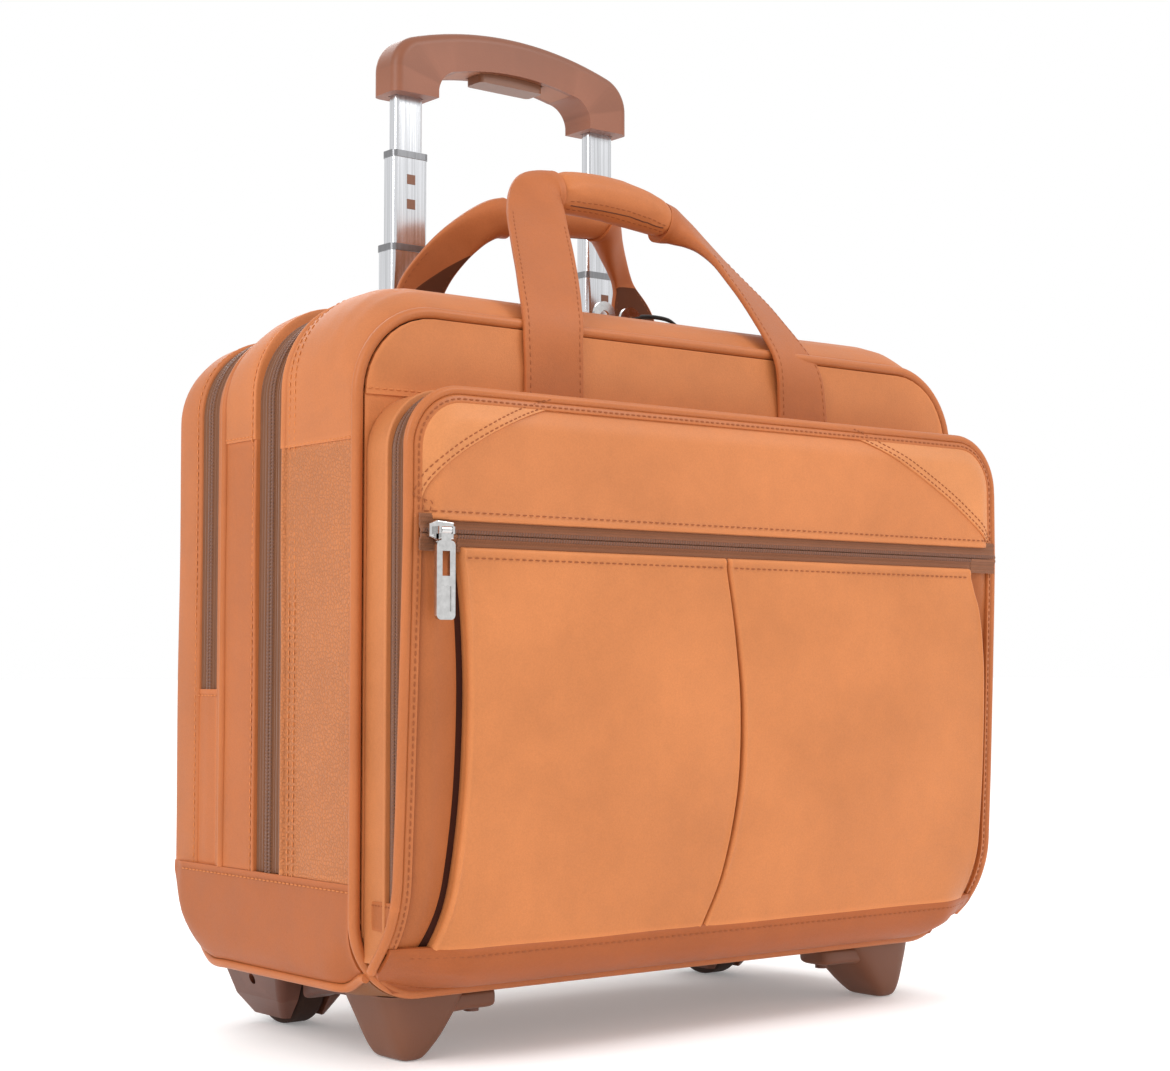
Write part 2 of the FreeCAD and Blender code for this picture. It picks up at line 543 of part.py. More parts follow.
def front_slab(z0, z1, dy0, dy1):
    """A slab that follows the pocket's leaning front between two levels."""
    def at(z):
        for (za, ya), (zb, yb) in zip(FRONT, FRONT[1:]):
            if za <= z <= zb:
                return ya + (yb - ya) * (z - za) / (zb - za)
        return FRONT[-1][1]
    zs = [z0] + [z for z, _ in FRONT if z0 < z < z1] + [z1]
    return [(at(z) + dy0, z) for z in zs] + [(at(z) + dy1, z) for z in reversed(zs)]


outline = Part.Face(rr_wire(d("pocket_half") - 3.0, 44.0, 333.4, 30.0, -70.0)).extrude(V(0, 60.0, 0))
pe = d("panel_edge")
top_plate = poly_prism_x(front_slab(262.5, 333.4, 0.0, 5.0), -208.4, 208.4).common(outline)
backing = mbox(-208.0, 208.0, -33.0, -31.2, 58.1, 300.0)
bridge = poly_prism_x([(-43.0, 262.5), (-43.0, 268.0), (-31.2, 268.0), (-31.2, 262.5)], -208.0, 208.0)
margin = poly_prism_x(front_slab(58.1, 262.6, 2.0, 4.6), pe + 0.6, 208.4)
mwall = poly_prism_x(front_slab(58.1, 262.6, 2.0, 4.6)[:len(front_slab(58.1, 262.6, 2.0, 4.6)) // 2] +
                     [(-31.4, 262.6), (-31.4, 58.1)], pe + 0.6, pe + 3.0)
flap = top_plate.fuse(backing).fuse(bridge).fuse(margin).fuse(mirrored(margin)).fuse(mwall).fuse(mirrored(mwall))
flap = flap.removeSplitter()
pw = arch_wire(d("pocket_half") - 0.4, 58.2, d("pocket_top") - 2.5, 31.5, -37.6)


def arch_pipe(rad):
    """The round cord round the pocket's front edge."""
    prof = Part.Wire([Part.makeCircle(rad, V(-(d("pocket_half") - 0.4), -37.6, 58.2), V(0, 0, 1))])
    return pw.makePipeShell([prof], True, False)


keep(feature("pocket_piping_sweep", arch_pipe(2.5)), "pocket_piping")
keep(cut("flap_cut", feature("flap_shape", flap), feature("flap_groove", arch_pipe(2.53))), "flap_panel")
keep(arch_ring("pocket_zip_front", D.pocket_half - 1.0, D.pocket_top - 1.0, q(33.0), -35.05, D.pocket_zip - 0.02, q(1.4), q(75.0)),
     "pocket_zip_front_tape")
keep(feature("front_zip_upper", poly_prism_x([(-46.9, 262.45), (-46.9, 268.7), (-46.02, 268.7), (-46.02, 262.45)], -207.0, 207.0)),
     "front_zip_upper_tape")
pp = poly_prism_x(front_slab(58.2, 256.4, 0.0, 3.0), -pe, pe)
keep(feature("pocket_panel_shape", pp), "pocket_panel")
lt = poly_prism_x([(-46.5, 256.45), (-46.5, 262.35), (-45.2, 262.35), (-45.2, 258.0), (-43.2, 258.0), (-43.2, 256.45)], -pe, pe)
keep(feature("front_zip_lower", lt), "front_zip_lower_tape")

# ================================================================== laptop zip's top tape (opens up)
lt_full = zip_tape("laptop_top", D.half_width - 2.2, D.edge_top - 2.6, q(45.6), 141.05, D.laptop_zip - 0.05, q(330.0), 1)
keep(common("laptop_top_common", lt_full, box("laptop_top_keep", -164.9, 164.9, 130.0, 170.0, 360.0, 400.0)), "laptop_zip_top_tape")

# ================================================================== trolley
def stage(name, w, dd, rad, z0, z1, windows):
    t = rect_tube(name, D.tube_x, D.tube_y, w, dd, rad, z0, z1, q(1.2))
    tools = [box("%s_window_%d" % (name, i), D.tube_x - 3.0, D.tube_x + 3.0, D.tube_y - q(dd) * 0.5 - 1.0,
                 D.tube_y - q(dd) * 0.5 + 3.0, z - 3.0, z + 3.0) for i, z in enumerate(windows)]
    return cut(name + "_cut", t, *tools) if tools else t


def plugs(dd, windows):
    y0 = d("tube_y") - dd / 2
    return [mbox(d("tube_x") - 2.95, d("tube_x") + 2.95, y0 - 0.12, y0 + 1.5, z - 2.95, z + 2.95) for z in windows]


keep(mirror_pair("lower_pair", stage("lower_tube", D.lower_w, D.lower_d, q(3.4), 190.0, D.lower_top, (433.0, 418.0))), "lower_tubes")
lc = rect_tube("lower_collar", D.tube_x, D.tube_y, D.lower_w + 1.0, D.lower_d + 1.0, q(3.8), D.lower_top, D.lower_top + D.collar)
lh = rect_tube("lower_collar_hole", D.tube_x, D.tube_y, D.middle_w + 0.3, D.middle_d + 0.3, q(3.1), 440.0, 460.0)
lp = feature("lower_plug_shapes", Part.makeCompound(plugs(d("lower_d"), (433.0, 418.0))))
keep(mirror_pair("lower_fit_pair", group("lower_fit", cut("lower_collar_cut", lc, lh), lp)), "lower_collars")

keep(mirror_pair("middle_pair", stage("middle_tube", D.middle_w, D.middle_d, q(3.0), 270.0, D.middle_top, (490.0, 475.0))), "middle_tubes")
mc = rect_tube("middle_collar", D.tube_x, D.tube_y, D.middle_w + 0.9, D.middle_d + 0.9, q(3.4), D.middle_top, D.middle_top + D.collar)
mh = rect_tube("middle_collar_hole", D.tube_x, D.tube_y, D.inner_w + 0.3, D.inner_d + 0.3, q(2.7), 495.0, 520.0)
mp = feature("middle_plug_shapes", Part.makeCompound(plugs(d("middle_d"), (490.0, 475.0))))
keep(mirror_pair("middle_fit_pair", group("middle_fit", cut("middle_collar_cut", mc, mh), mp)), "middle_collars")

keep(mirror_pair("inner_pair", stage("inner_tube", D.inner_w, D.inner_d, q(2.6), 310.0, D.grip_low + 12.0, ())), "inner_tubes")

# Grip: a padded-looking moulded arch with a leg over each tube.
gl, gt, gh, gd = d("grip_low"), d("grip_top"), d("grip_half"), d("grip_d")
gy = d("tube_y")
P = lambda x, z: V(x, gy - gd / 2, z)
ge = [Part.LineSegment(P(-gh, gl), P(-gh, 555.7)).toShape(),
      Part.Arc(P(-gh, 555.7), P(-85.72, 568.74), P(-74.54, 576.7)).toShape(),
      Part.Arc(P(-74.54, 576.7), P(0.0, gt), P(74.54, 576.7)).toShape(),
      Part.Arc(P(74.54, 576.7), P(85.72, 568.74), P(gh, 555.7)).toShape(),
      Part.LineSegment(P(gh, 555.7), P(gh, gl)).toShape(),
      Part.LineSegment(P(gh, gl), P(58.5, gl)).toShape(),
      Part.LineSegment(P(58.5, gl), P(58.5, 546.0)).toShape(),
      Part.Arc(P(58.5, 546.0), P(54.0, 555.0), P(44.0, 559.5)).toShape(),
      Part.Arc(P(44.0, 559.5), P(0.0, 564.5), P(-44.0, 559.5)).toShape(),
      Part.Arc(P(-44.0, 559.5), P(-54.0, 555.0), P(-58.5, 546.0)).toShape(),
      Part.LineSegment(P(-58.5, 546.0), P(-58.5, gl)).toShape(),
      Part.LineSegment(P(-58.5, gl), P(-gh, gl)).toShape()]
gs = Part.Face(Part.Wire(ge)).extrude(V(0, gd, 0))
top_rim = [e for e in gs.Edges if abs(e.Vertexes[0].Y - e.Vertexes[-1].Y) < 0.01 and e.CenterOfMass.z > gl + 1.0 and
           (e.CenterOfMass.z > 568.0 or abs(e.CenterOfMass.x) > 78.0)]
gs = gs.makeFillet(6.0, top_rim)
gs = gs.Solids[0] if gs.Solids else gs
print("grip", round(gs.Volume, 1), len(top_rim), gs.ShapeType, gs.isValid())
pocket = mbox(-66.0, 66.0, gy - 5.2, gy + 5.2, 566.0, 574.0)
sockets = [mbox(s * d("tube_x") - d("inner_w") / 2 - 0.05, s * d("tube_x") + d("inner_w") / 2 + 0.05,
                gy - d("inner_d") / 2 - 0.05, gy + d("inner_d") / 2 + 0.05, gl - 1, gl + 12.02) for s in (1, -1)]
rodway = [mbox(min(s * 66.0, s * 77.0), max(s * 66.0, s * 77.0), gy - 5.2, gy + 5.2, gl + 11.0, 574.0) for s in (1, -1)]
well_u = mbox(-24.3, 24.3, gy - 8.3, gy + 8.3, 550.0, 574.2)
cover_gap = mbox(-44.0, 44.0, gy - 10.0, gy + 10.0, 545.0, 566.5)
shell = gs
for s in [pocket] + sockets + rodway + [well_u, cover_gap]:
    shell = shell.cut(s)
keep(feature("grip_shape", shell), "grip_shell")
cover = gs.common(mbox(-43.9, 43.9, gy - 9.9, gy + 9.9, 545.0, 566.4)).cut(mbox(-24.3, 24.3, gy - 8.3, gy + 8.3, 550.0, 570.0))
cover = cover.cut(mbox(-66.0, 66.0, gy - 5.2, gy + 5.2, 566.0, 574.0))
keep(feature("cover_shape", cover), "grip_underside")
btn = mbox(-24.0, 24.0, gy - 8.0, gy + 8.0, 558.0, 569.9)
btn = btn.makeFillet(3.0, [e for e in btn.Edges if abs(e.Vertexes[0].Z - e.Vertexes[-1].Z) > 1.0])
btn = btn.cut(mbox(-70.0, 70.0, gy - 5.0, gy + 5.0, 566.2, 569.95))
keep(feature("button_shape", btn), "grip_button")
bar = mbox(-62.0, 62.0, gy - 4.0, gy + 4.0, 566.3, 569.8)
rod = Part.makeCylinder(2.0, 569.0 - 340.0, V(d("tube_x"), gy, 340.0), V(0, 0, 1))
arm = mbox(60.0, d("tube_x") + 2.2, gy - 3.0, gy + 3.0, 566.3, 569.8)
rods = bar.fuse(rod).fuse(mirrored(rod)).fuse(arm).fuse(mirrored(arm)).removeSplitter()
keep(feature("rod_shape", rods), "release_rods")

# ================================================================== wheels
def wheel(side, sign):
    body = doc.addObject("PartDesign::Body", "hub_%s_body" % side)
    sk = on_plane(body, "hub_%s_profile" % side, "XY_Plane")
    # half section across the axle: X along the axle, Y outwards
    w = d("wheel_w") / 2
    pts = [(-w + 1.0, 3.06), (-w + 1.0, 7.0), (-w + 4.0, 9.0), (-w + 4.0, 14.5), (-w + 1.0, 15.5), (-w + 1.0, 18.0),
           (w - 1.0, 18.0), (w - 1.0, 15.5), (w - 4.0, 14.5), (w - 4.0, 9.0), (w - 1.0, 7.0), (w - 1.0, 3.06)]
    n = len(pts)
    for i in range(n):
        a, b = pts[i], pts[(i + 1) % n]
        sk.addGeometry(Part.LineSegment(V(a[0], a[1], 0), V(b[0], b[1], 0)), False)
    for i in range(n):
        sk.addConstraint(Sketcher.Constraint("Coincident", i, 2, (i + 1) % n, 1))
    rv = body.newObject("PartDesign::Revolution", "hub_%s_turn" % side)
    rv.Profile = sk
    rv.ReferenceAxis = (sk, ["H_Axis"])
    rv.Angle = 360.0
    doc.recompute()
    hs = body.newObject("Sketcher::SketchObject", "hub_%s_hole" % side)
    hs.AttachmentSupport = [(origin_plane(body, "YZ_Plane"), "")]
    hs.MapMode = "FlatFace"
    hs.addGeometry(Part.Circle(V(11.8, 0, 0), V(0, 0, 1), 2.2), False)
    pk = body.newObject("PartDesign::Pocket", "hub_%s_pocket" % side)
    pk.Profile = hs
    pk.Type = 1
    pk.Midplane = True
    doc.recompute()
    before = rv.Shape.Volume
    pat = body.newObject("PartDesign::PolarPattern", "hub_%s_pattern" % side)
    pat.Originals = [pk]
    pat.Axis = (sk, ["H_Axis"])
    pat.Angle = 360.0
    pat.Occurrences = 6
    body.Tip = pat
    doc.recompute()
    print("hub", side, round(before, 1), round(pk.Shape.Volume, 1), round(pat.Shape.Volume, 1))
    keep(body, "hub_" + side, V(sign * d("wheel_x"), d("wheel_y"), d("wheel_rad")))
    outer_c = doc.addObject("Part::Cylinder", "tyre_%s_outer" % side)
    inner_c = doc.addObject("Part::Cylinder", "tyre_%s_inner" % side)
    for c, rr, hh in ((outer_c, D.wheel_rad, D.wheel_w), (inner_c, D.hub_rad + 0.0, D.wheel_w + 2.0)):
        c.Radius, c.Height = rr.v, hh.v
        c.setExpression("Radius", rr.e)
        c.setExpression("Height", hh.e)
        c.Placement = FreeCAD.Placement(V(-hh.v / 2, 0, 0), FreeCAD.Rotation(V(0, 1, 0), 90))
    rounded_t = doc.addObject("Part::Fillet", "tyre_%s_round" % side)
    rounded_t.Base = outer_c
    doc.recompute()
    rounded_t.Edges = [(i + 1, 4.0, 4.0) for i, e in enumerate(outer_c.Shape.Edges) if e.Closed and len(e.Vertexes) == 1 and
                       abs(e.BoundBox.XLength) < 0.01]
    t = cut("tyre_%s_cut" % side, rounded_t, inner_c)
    keep(t, "tyre_" + side, V(sign * d("wheel_x"), d("wheel_y"), d("wheel_rad")))


wheel("left", -1)
wheel("right", 1)

# ================================================================== carry handles
def strap_shape(legs, thick, core_z, core_half, rise):
    """Two flat straps that lean towards each other, joined by a core through the roll."""
    s = poly_prism_y(legs, -thick / 2, thick / 2)
    core = mbox(-core_half, core_half, -thick / 2, thick / 2, core_z - 6.0, core_z + 6.0)
    return s.fuse(mirrored(s)).fuse(core).removeSplitter()


def roll_shape(half, rad, z, thick):
    r = Part.makeCylinder(rad, 2 * half, V(-half, 0, z), V(1, 0, 0))
    ends = [e for e in r.Edges if e.Closed and len(e.Vertexes) == 1]
    r = r.makeFillet(4.0, ends)
    r = r.cut(mbox(-half - 20, half + 20, -thick / 2 - 0.01, thick / 2 + 0.01, z - 6.01, z + 6.01))
    return r.cut(both(mbox(half - 2.6, half + 20, -thick / 2 - 0.01, thick / 2 + 0.01, z - 30.0, z + 30.0)))


th = d("strap_t")
legs_f = [(70.5, 0.1), (109.5, 0.1), (109.0, 20.0), (103.0, 48.0), (92.0, 74.0), (76.0, 97.0), (58.0, 112.0), (48.0, 117.5),
          (50.1, 97.0), (56.0, 84.0), (64.0, 64.0), (69.0, 40.0), (70.5, 18.0)]
lean_f = 42.8
sf = strap_shape(legs_f, th, 108.0, 58.0, 0)
rot = FreeCAD.Rotation(V(1, 0, 0), -lean_f)
riser = mbox(70.5, 109.5, -1.5, 1.5, -11.9, 0.3)
local = sf.copy()
rise_l = both(riser)
rise_l.rotate(V(0, 0, 0), V(1, 0, 0), lean_f)          # stays upright once the handle leans back
wedge = Part.makeCylinder(1.5, 39.0, V(70.5, 0, 0), V(1, 0, 0))
handle_f = local.fuse(rise_l.Solids[0]).fuse(rise_l.Solids[1]).fuse(wedge).fuse(mirrored(wedge)).removeSplitter()
keep(feature("front_strap_shape", handle_f), "front_handle_strap", V(0, -4.9, 386.0), rot)
rf = roll_shape(d("roll_half"), d("front_roll_rad"), 108.0, th)
keep(feature("front_roll_shape", rf), "front_handle_grip", V(0, -4.9, 386.0), rot)

legs_r = [(70.5, 0.6), (109.5, 0.6), (108.5, 18.0), (102.0, 42.0), (90.0, 66.0), (74.0, 84.0), (58.0, 94.0), (48.0, 98.0),
          (50.1, 80.0), (57.0, 66.0), (65.0, 50.0), (70.0, 30.0), (70.5, 14.0)]
lean_r = -13.1
sr = strap_shape(legs_r, 2.8, 90.0, 58.0, 0)
rotr = FreeCAD.Rotation(V(1, 0, 0), -lean_r)
keep(feature("rear_strap_shape", sr), "rear_handle_strap", V(0, 138.6, 386.0), rotr)
rr_ = roll_shape(d("roll_half"), d("rear_roll_rad"), 90.0, 2.8)
keep(feature("rear_roll_shape", rr_), "rear_handle_grip", V(0, 138.6, 386.0), rotr)

# ================================================================== zip sliders and pulls
def slider_body(w, l, hh):
    """A slider lying flat, nose towards -X: two plates joined by a post, with a bail on top."""
    pts = [(-l / 2, -w * 0.32), (-l * 0.2, -w / 2), (l / 2, -w * 0.42), (l / 2, w * 0.42), (-l * 0.2, w / 2), (-l / 2, w * 0.32)]
    wpl = Part.makePolygon([V(x, y, 0) for x, y in pts] + [V(pts[0][0], pts[0][1], 0)])
    b = Part.Face(wpl).extrude(V(0, 0, hh))
    b = b.makeFillet(hh * 0.3, [e for e in b.Edges if e.CenterOfMass.z > hh * 0.9])
    return b


def bail(l, z0, z1, wid):
    """Half loop over the slider that the pull hangs on."""
    o = mbox(-l / 2, l / 2, -wid / 2, wid / 2, z0, z1)
    i = mbox(-l / 2 + 1.4, l / 2 - 1.4, -wid / 2 - 1, wid / 2 + 1, z0 - 1, z1 - 1.4)
    return o.cut(i)


# front pocket: slider on the front face, with ears and a pin; the pull's eye turns on the pin
PIN_Y, PIN_Z, SL_X = -52.1, 263.6, -198.0
fs = slider_body(10.0, 14.0, 3.0)
fs = fs.fuse(mbox(3.2, 4.6, -1.8, 1.8, 2.0, 6.9)).fuse(mbox(-4.6, -3.2, -1.8, 1.8, 2.0, 6.9))
fs = fs.fuse(Part.makeCylinder(0.8, 9.0, V(-4.5, 0, 5.15), V(1, 0, 0))).removeSplitter()
fs.rotate(V(0, 0, 0), V(1, 0, 0), 90)                   # its top now faces -Y
fs.translate(V(SL_X, -46.95, PIN_Z))
keep(feature("front_slider_shape", fs), "front_slider")
pl = mbox(-5.4, 5.4, -1.1, 1.1, -43.0, -5.0)
pl = pl.makeFillet(2.4, [e for e in pl.Edges if abs(e.Vertexes[0].Y - e.Vertexes[-1].Y) > 1.0])
pl = pl.cut(mbox(-3.0, 3.0, -1.2, -0.5, -39.0, -27.0)).cut(mbox(-2.2, 2.2, -2.0, 2.0, -22.0, -10.0))
pl = pl.fuse(mbox(-2.9, 2.9, -1.1, 1.1, -6.0, -1.0)).fuse(Part.makeCylinder(1.9, 5.8, V(-2.9, 0, 0), V(1, 0, 0)))
pl = pl.cut(Part.makeCylinder(0.86, 8.0, V(-4.0, 0, 0), V(1, 0, 0)))
keep(feature("front_pull_shape", pl.removeSplitter()), "front_pull", V(SL_X, PIN_Y, PIN_Z))


def top_slider(x, y, z, pull_h, tail):
    b = slider_body(9.5, 13.0, 3.4)
    b = b.fuse(bail(9.0, 3.0, 6.6, 2.6))
    loop = Part.makeCylinder(8.0, 2.0, V(0, -1.0, pull_h - 8.0), V(0, 1, 0)).fuse(mbox(-4.0, 4.0, -1.0, 1.0, 6.4, pull_h - 8.0))
    loop = loop.cut(Part.makeCylinder(3.6, 6.0, V(0, -3.0, pull_h - 9.0), V(0, 1, 0)))
    b = b.fuse(loop).removeSplitter()
    if tail:
        b = b.fuse(mbox(6.0, 38.0, -1.4, 1.4, pull_h - 13.0, pull_h - 10.6)).removeSplitter()
    b.translate(V(x, y, z))
    return b


keep(feature("main_slider_left_shape", top_slider(11.0, d("zip_line"), 390.75, 24.0, False)), "main_slider_left")
keep(feature("main_slider_right_shape", top_slider(31.0, d("zip_line"), 390.75, 22.5, True)), "main_slider_right")

os_ = slider_body(8.6, 12.0, 3.0).fuse(bail(8.0, 2.6, 5.6, 2.4)).fuse(mbox(-34.0, -4.0, -3.2, 3.2, 3.6, 5.2)).removeSplitter()
os_.translate(V(150.0, d("pocket_zip"), d("pocket_top") + 0.3))
keep(feature("organizer_slider_shape", os_), "organizer_slider")
ls = slider_body(8.6, 12.0, 3.0).fuse(bail(8.0, 2.6, 5.6, 2.4)).fuse(mbox(4.0, 32.0, -3.2, 3.2, 3.6, 5.2)).removeSplitter()
ls.translate(V(122.0, d("laptop_zip"), d("edge_top") - 1.6))
keep(feature("laptop_slider_shape", ls), "laptop_slider")

# ================================================================== check and write
doc.recompute()
bad = []
for o in doc.Objects:
    if "Invalid" in o.State or "Error" in o.State:
        bad.append((o.Name, o.State))
for name, o in NODES.items():
    s = o.Shape
    if s.isNull() or not s.isValid() or not s.Solids or s.Volume <= 0:
        bad.append((name, "shape", s.isNull(), (not s.isNull()) and s.isValid(), len(s.Solids) if not s.isNull() else 0))
if bad:
    for b in bad:
        print("BAD", b)
    raise SystemExit(1)
if len(NODES) > 60:
    raise SystemExit("too many sub-parts: %d" % len(NODES))
allbb = FreeCAD.BoundBox()
for name, o in sorted(NODES.items()):
    o.Shape.exportStep("parts/%s.step" % name)
    allbb.add(o.Shape.BoundBox)
print("sub-parts", len(NODES))
print("box", [round(v, 2) for v in (allbb.XMin, allbb.XMax, allbb.YMin, allbb.YMax, allbb.ZMin, allbb.ZMax)])
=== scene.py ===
import math

import bmesh
import bpy
import numpy as np
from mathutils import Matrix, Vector
from mathutils.bvhtree import BVHTree


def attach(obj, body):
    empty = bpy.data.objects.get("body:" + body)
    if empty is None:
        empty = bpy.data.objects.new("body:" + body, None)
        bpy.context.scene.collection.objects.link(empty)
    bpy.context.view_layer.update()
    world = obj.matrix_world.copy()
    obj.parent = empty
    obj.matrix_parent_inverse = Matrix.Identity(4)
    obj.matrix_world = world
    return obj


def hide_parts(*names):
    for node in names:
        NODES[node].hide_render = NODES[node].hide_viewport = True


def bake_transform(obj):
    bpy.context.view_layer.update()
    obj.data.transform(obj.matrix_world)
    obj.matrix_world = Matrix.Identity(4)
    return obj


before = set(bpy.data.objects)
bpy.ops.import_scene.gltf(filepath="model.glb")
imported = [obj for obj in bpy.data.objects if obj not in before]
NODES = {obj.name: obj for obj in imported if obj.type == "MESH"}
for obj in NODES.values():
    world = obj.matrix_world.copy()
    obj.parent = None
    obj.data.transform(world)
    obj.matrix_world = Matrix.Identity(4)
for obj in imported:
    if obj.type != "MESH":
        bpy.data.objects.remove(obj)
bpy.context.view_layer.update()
MID = 66.5                      # the row frame's y = 0, in the layout's own millimetres
SCENE = bpy.context.scene


# ============================================================================ helpers
def wm(a):
    """Layout millimetres (x across, y back from the front panel, z up) to metres in the row frame."""
    a = np.array(a, float).reshape(-1, 3).copy()
    a[:, 1] -= MID
    return a / 1000.0


def smooth01(t):
    t = np.clip(t, 0.0, 1.0)
    return t * t * (3 - 2 * t)


def finish_mesh(ob, angle=38.0):
    bm = bmesh.new()
    bm.from_mesh(ob.data)
    bmesh.ops.remove_doubles(bm, verts=bm.verts, dist=2e-6)
    bmesh.ops.dissolve_degenerate(bm, edges=bm.edges, dist=1e-6)
    bmesh.ops.recalc_face_normals(bm, faces=bm.faces)
    bm.to_mesh(ob.data)
    bm.free()
    ob.data.polygons.foreach_set("use_smooth", [True] * len(ob.data.polygons))
    if angle:
        ob.data.set_sharp_from_angle(angle=math.radians(angle))
    ob.data.update()


def place(ob, body, mat, rep=(), ride=True):
    if mat is not None:
        ob.data.materials.clear()
        ob.data.materials.append(mat)
    if ride:
        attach(ob, body)
    if rep:
        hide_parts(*rep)
    return ob


def obj_from(name, verts, faces, body, mat, rep=(), angle=38.0, ride=True, metres=False):
    me = bpy.data.meshes.new(name)
    v = np.array(verts, float).reshape(-1, 3) if metres else wm(verts)
    me.from_pydata(v.tolist(), [], [tuple(int(i) for i in f) for f in faces])
    ob = bpy.data.objects.new(name, me)
    SCENE.collection.objects.link(ob)
    finish_mesh(ob, angle)
    return place(ob, body, mat, rep, ride)


def strip(y0, y1, off=0.0, t=2.6, r=0.8, step=3.5, bulge=0.0, roll0=0.0, roll1=0.0):
    """Closed section of a leather strip lying from y0 to y1, as (y, offset) pairs; roll0/roll1 thicken its folded edges."""
    out = []
    for a in np.linspace(180, 90, 4):
        out.append((y0 + r + r * math.cos(math.radians(a)), off + roll0 - r + r * math.sin(math.radians(a))))
    ys = np.linspace(y0 + r, y1 - r, max(4, int((y1 - y0) / step) + 2))[1:-1]
    if roll0:
        ys = np.unique(np.concatenate([ys[ys > y0 + 4.2], [y0 + 1.8, y0 + 2.8, y0 + 3.4, y0 + 4.0]]))
    if roll1:
        ys = np.unique(np.concatenate([ys[ys < y1 - 4.2], [y1 - 1.8, y1 - 2.8, y1 - 3.4, y1 - 4.0]]))
    for y in ys:
        u = (y - y0) / (y1 - y0)
        o = off + bulge * 4 * u * (1 - u)
        if roll0:
            o += roll0 * float(1 - smooth01((y - y0 - 1.8) / 1.8)) - 0.35 * math.exp(-((y - y0 - 3.6) / 0.5) ** 2)
        if roll1:
            o += roll1 * float(1 - smooth01((y1 - 1.8 - y) / 1.8)) - 0.35 * math.exp(-((y1 - 3.6 - y) / 0.5) ** 2)
        out.append((float(y), o))
    for a in np.linspace(90, 0, 4):
        out.append((y1 - r + r * math.cos(math.radians(a)), off + roll1 - r + r * math.sin(math.radians(a))))
    inner = np.linspace(y1, y0, max(3, int((y1 - y0) / 12) + 2))
    out += [(float(y), off - t) for y in inner]
    return out


def circle(y, off, r, n=14):
    return [(y + r * math.cos(a), off + r * math.sin(a)) for a in np.linspace(0, 2 * math.pi, n, endpoint=False)]


def loop(hw, z0, z1, rt, rb, nb=72, ns=70, nt=90, nc=16):
    p, n = [], []

    def line(a, b, k, m):
        for i in range(k):
            p.append((a[0] + (b[0] - a[0]) * i / k, a[1] + (b[1] - a[1]) * i / k))
            n.append(m)

    def arc(cx, cz, r, a0, a1, k):
        for i in range(k):
            a = math.radians(a0 + (a1 - a0) * i / k)
            p.append((cx + r * math.cos(a), cz + r * math.sin(a)))
            n.append((math.cos(a), math.sin(a)))
    line((-(hw - rb), z0), (hw - rb, z0), nb, (0, -1))
    arc(hw - rb, z0 + rb, rb, -90, 0, nc)
    line((hw, z0 + rb), (hw, z1 - rt), ns, (1, 0))
    arc(hw - rt, z1 - rt, rt, 0, 90, nc)
    line((hw - rt, z1), (-(hw - rt), z1), nt, (0, 1))
    arc(-(hw - rt), z1 - rt, rt, 90, 180, nc)
    line((-hw, z1 - rt), (-hw, z0 + rb), ns, (-1, 0))
    arc(-(hw - rb), z0 + rb, rb, 180, 270, nc)
    return np.array(p), np.array(n)


def arch(hw, zf, z1, rt, ns=70, nt=96, nc=18):
    p, n = [], []
    zside = np.concatenate([np.linspace(zf, 326.0, ns - 6, endpoint=False), np.linspace(326.0, z1 - rt, 6, endpoint=False)]) \
        if z1 - rt > 330 else np.linspace(zf, z1 - rt, ns, endpoint=False)
    for z in zside:
        p.append((hw, z))
        n.append((1, 0))
    for i in range(nc):
        a = math.radians(90 * i / nc)
        p.append((hw - rt + rt * math.cos(a), z1 - rt + rt * math.sin(a)))
        n.append((math.cos(a), math.sin(a)))
    for i in range(nt):
        p.append((hw - rt - 2 * (hw - rt) * i / nt, z1))
        n.append((0, 1))
    for i in range(nc):
        a = math.radians(90 + 90 * i / nc)
        p.append((-(hw - rt) + rt * math.cos(a), z1 - rt + rt * math.sin(a)))
        n.append((math.cos(a), math.sin(a)))
    for z in [z1 - rt] + list(zside[::-1]):
        p.append((-hw, z))
        n.append((-1, 0))
    return np.array(p, float), np.array(n, float)


def wobble(x, y, z, amp, scale=0.012):
    """A slow, seeded-by-nothing ripple that keeps the hide from looking machined."""
    return amp * (np.sin(x * scale * 1.7 + y * scale * 2.3 + 0.7) * np.cos(z * scale * 1.9 - x * scale * 0.6 + 1.3)
                  + 0.5 * np.sin(z * scale * 4.1 + x * scale * 3.3 + y * scale * 3.1))


def sweep(name, prof, pathfn, body, mat, rep=(), closed=False, ripple=0.0, angle=38.0, sel=None):
    """Sweeps a closed (y, offset) section round the path that pathfn(y) gives."""
    cols = []
    for y, off in prof:
        p, n = pathfn(y)
        if sel is not None:
            p, n = p[sel], n[sel]
        q = p + n * off
        if ripple:
            w = wobble(q[:, 0], y, q[:, 1], ripple)
            q = q + n * w[:, None]
        cols.append(np.column_stack([q[:, 0], np.full(len(q), y), q[:, 1]]))
    g = np.stack(cols, 1)                       # path, section, xyz
    N, K = g.shape[:2]
    faces = []
    for i in range(N if closed else N - 1):
        a, b = i * K, ((i + 1) % N) * K
        for j in range(K):
            k = (j + 1) % K
            faces.append((a + j, a + k, b + k, b + j))
    if not closed:
        faces.append(tuple(range(K)))
        faces.append(tuple((N - 1) * K + j for j in reversed(range(K))))
    return obj_from(name, g.reshape(-1, 3), faces, body, mat, rep, angle)


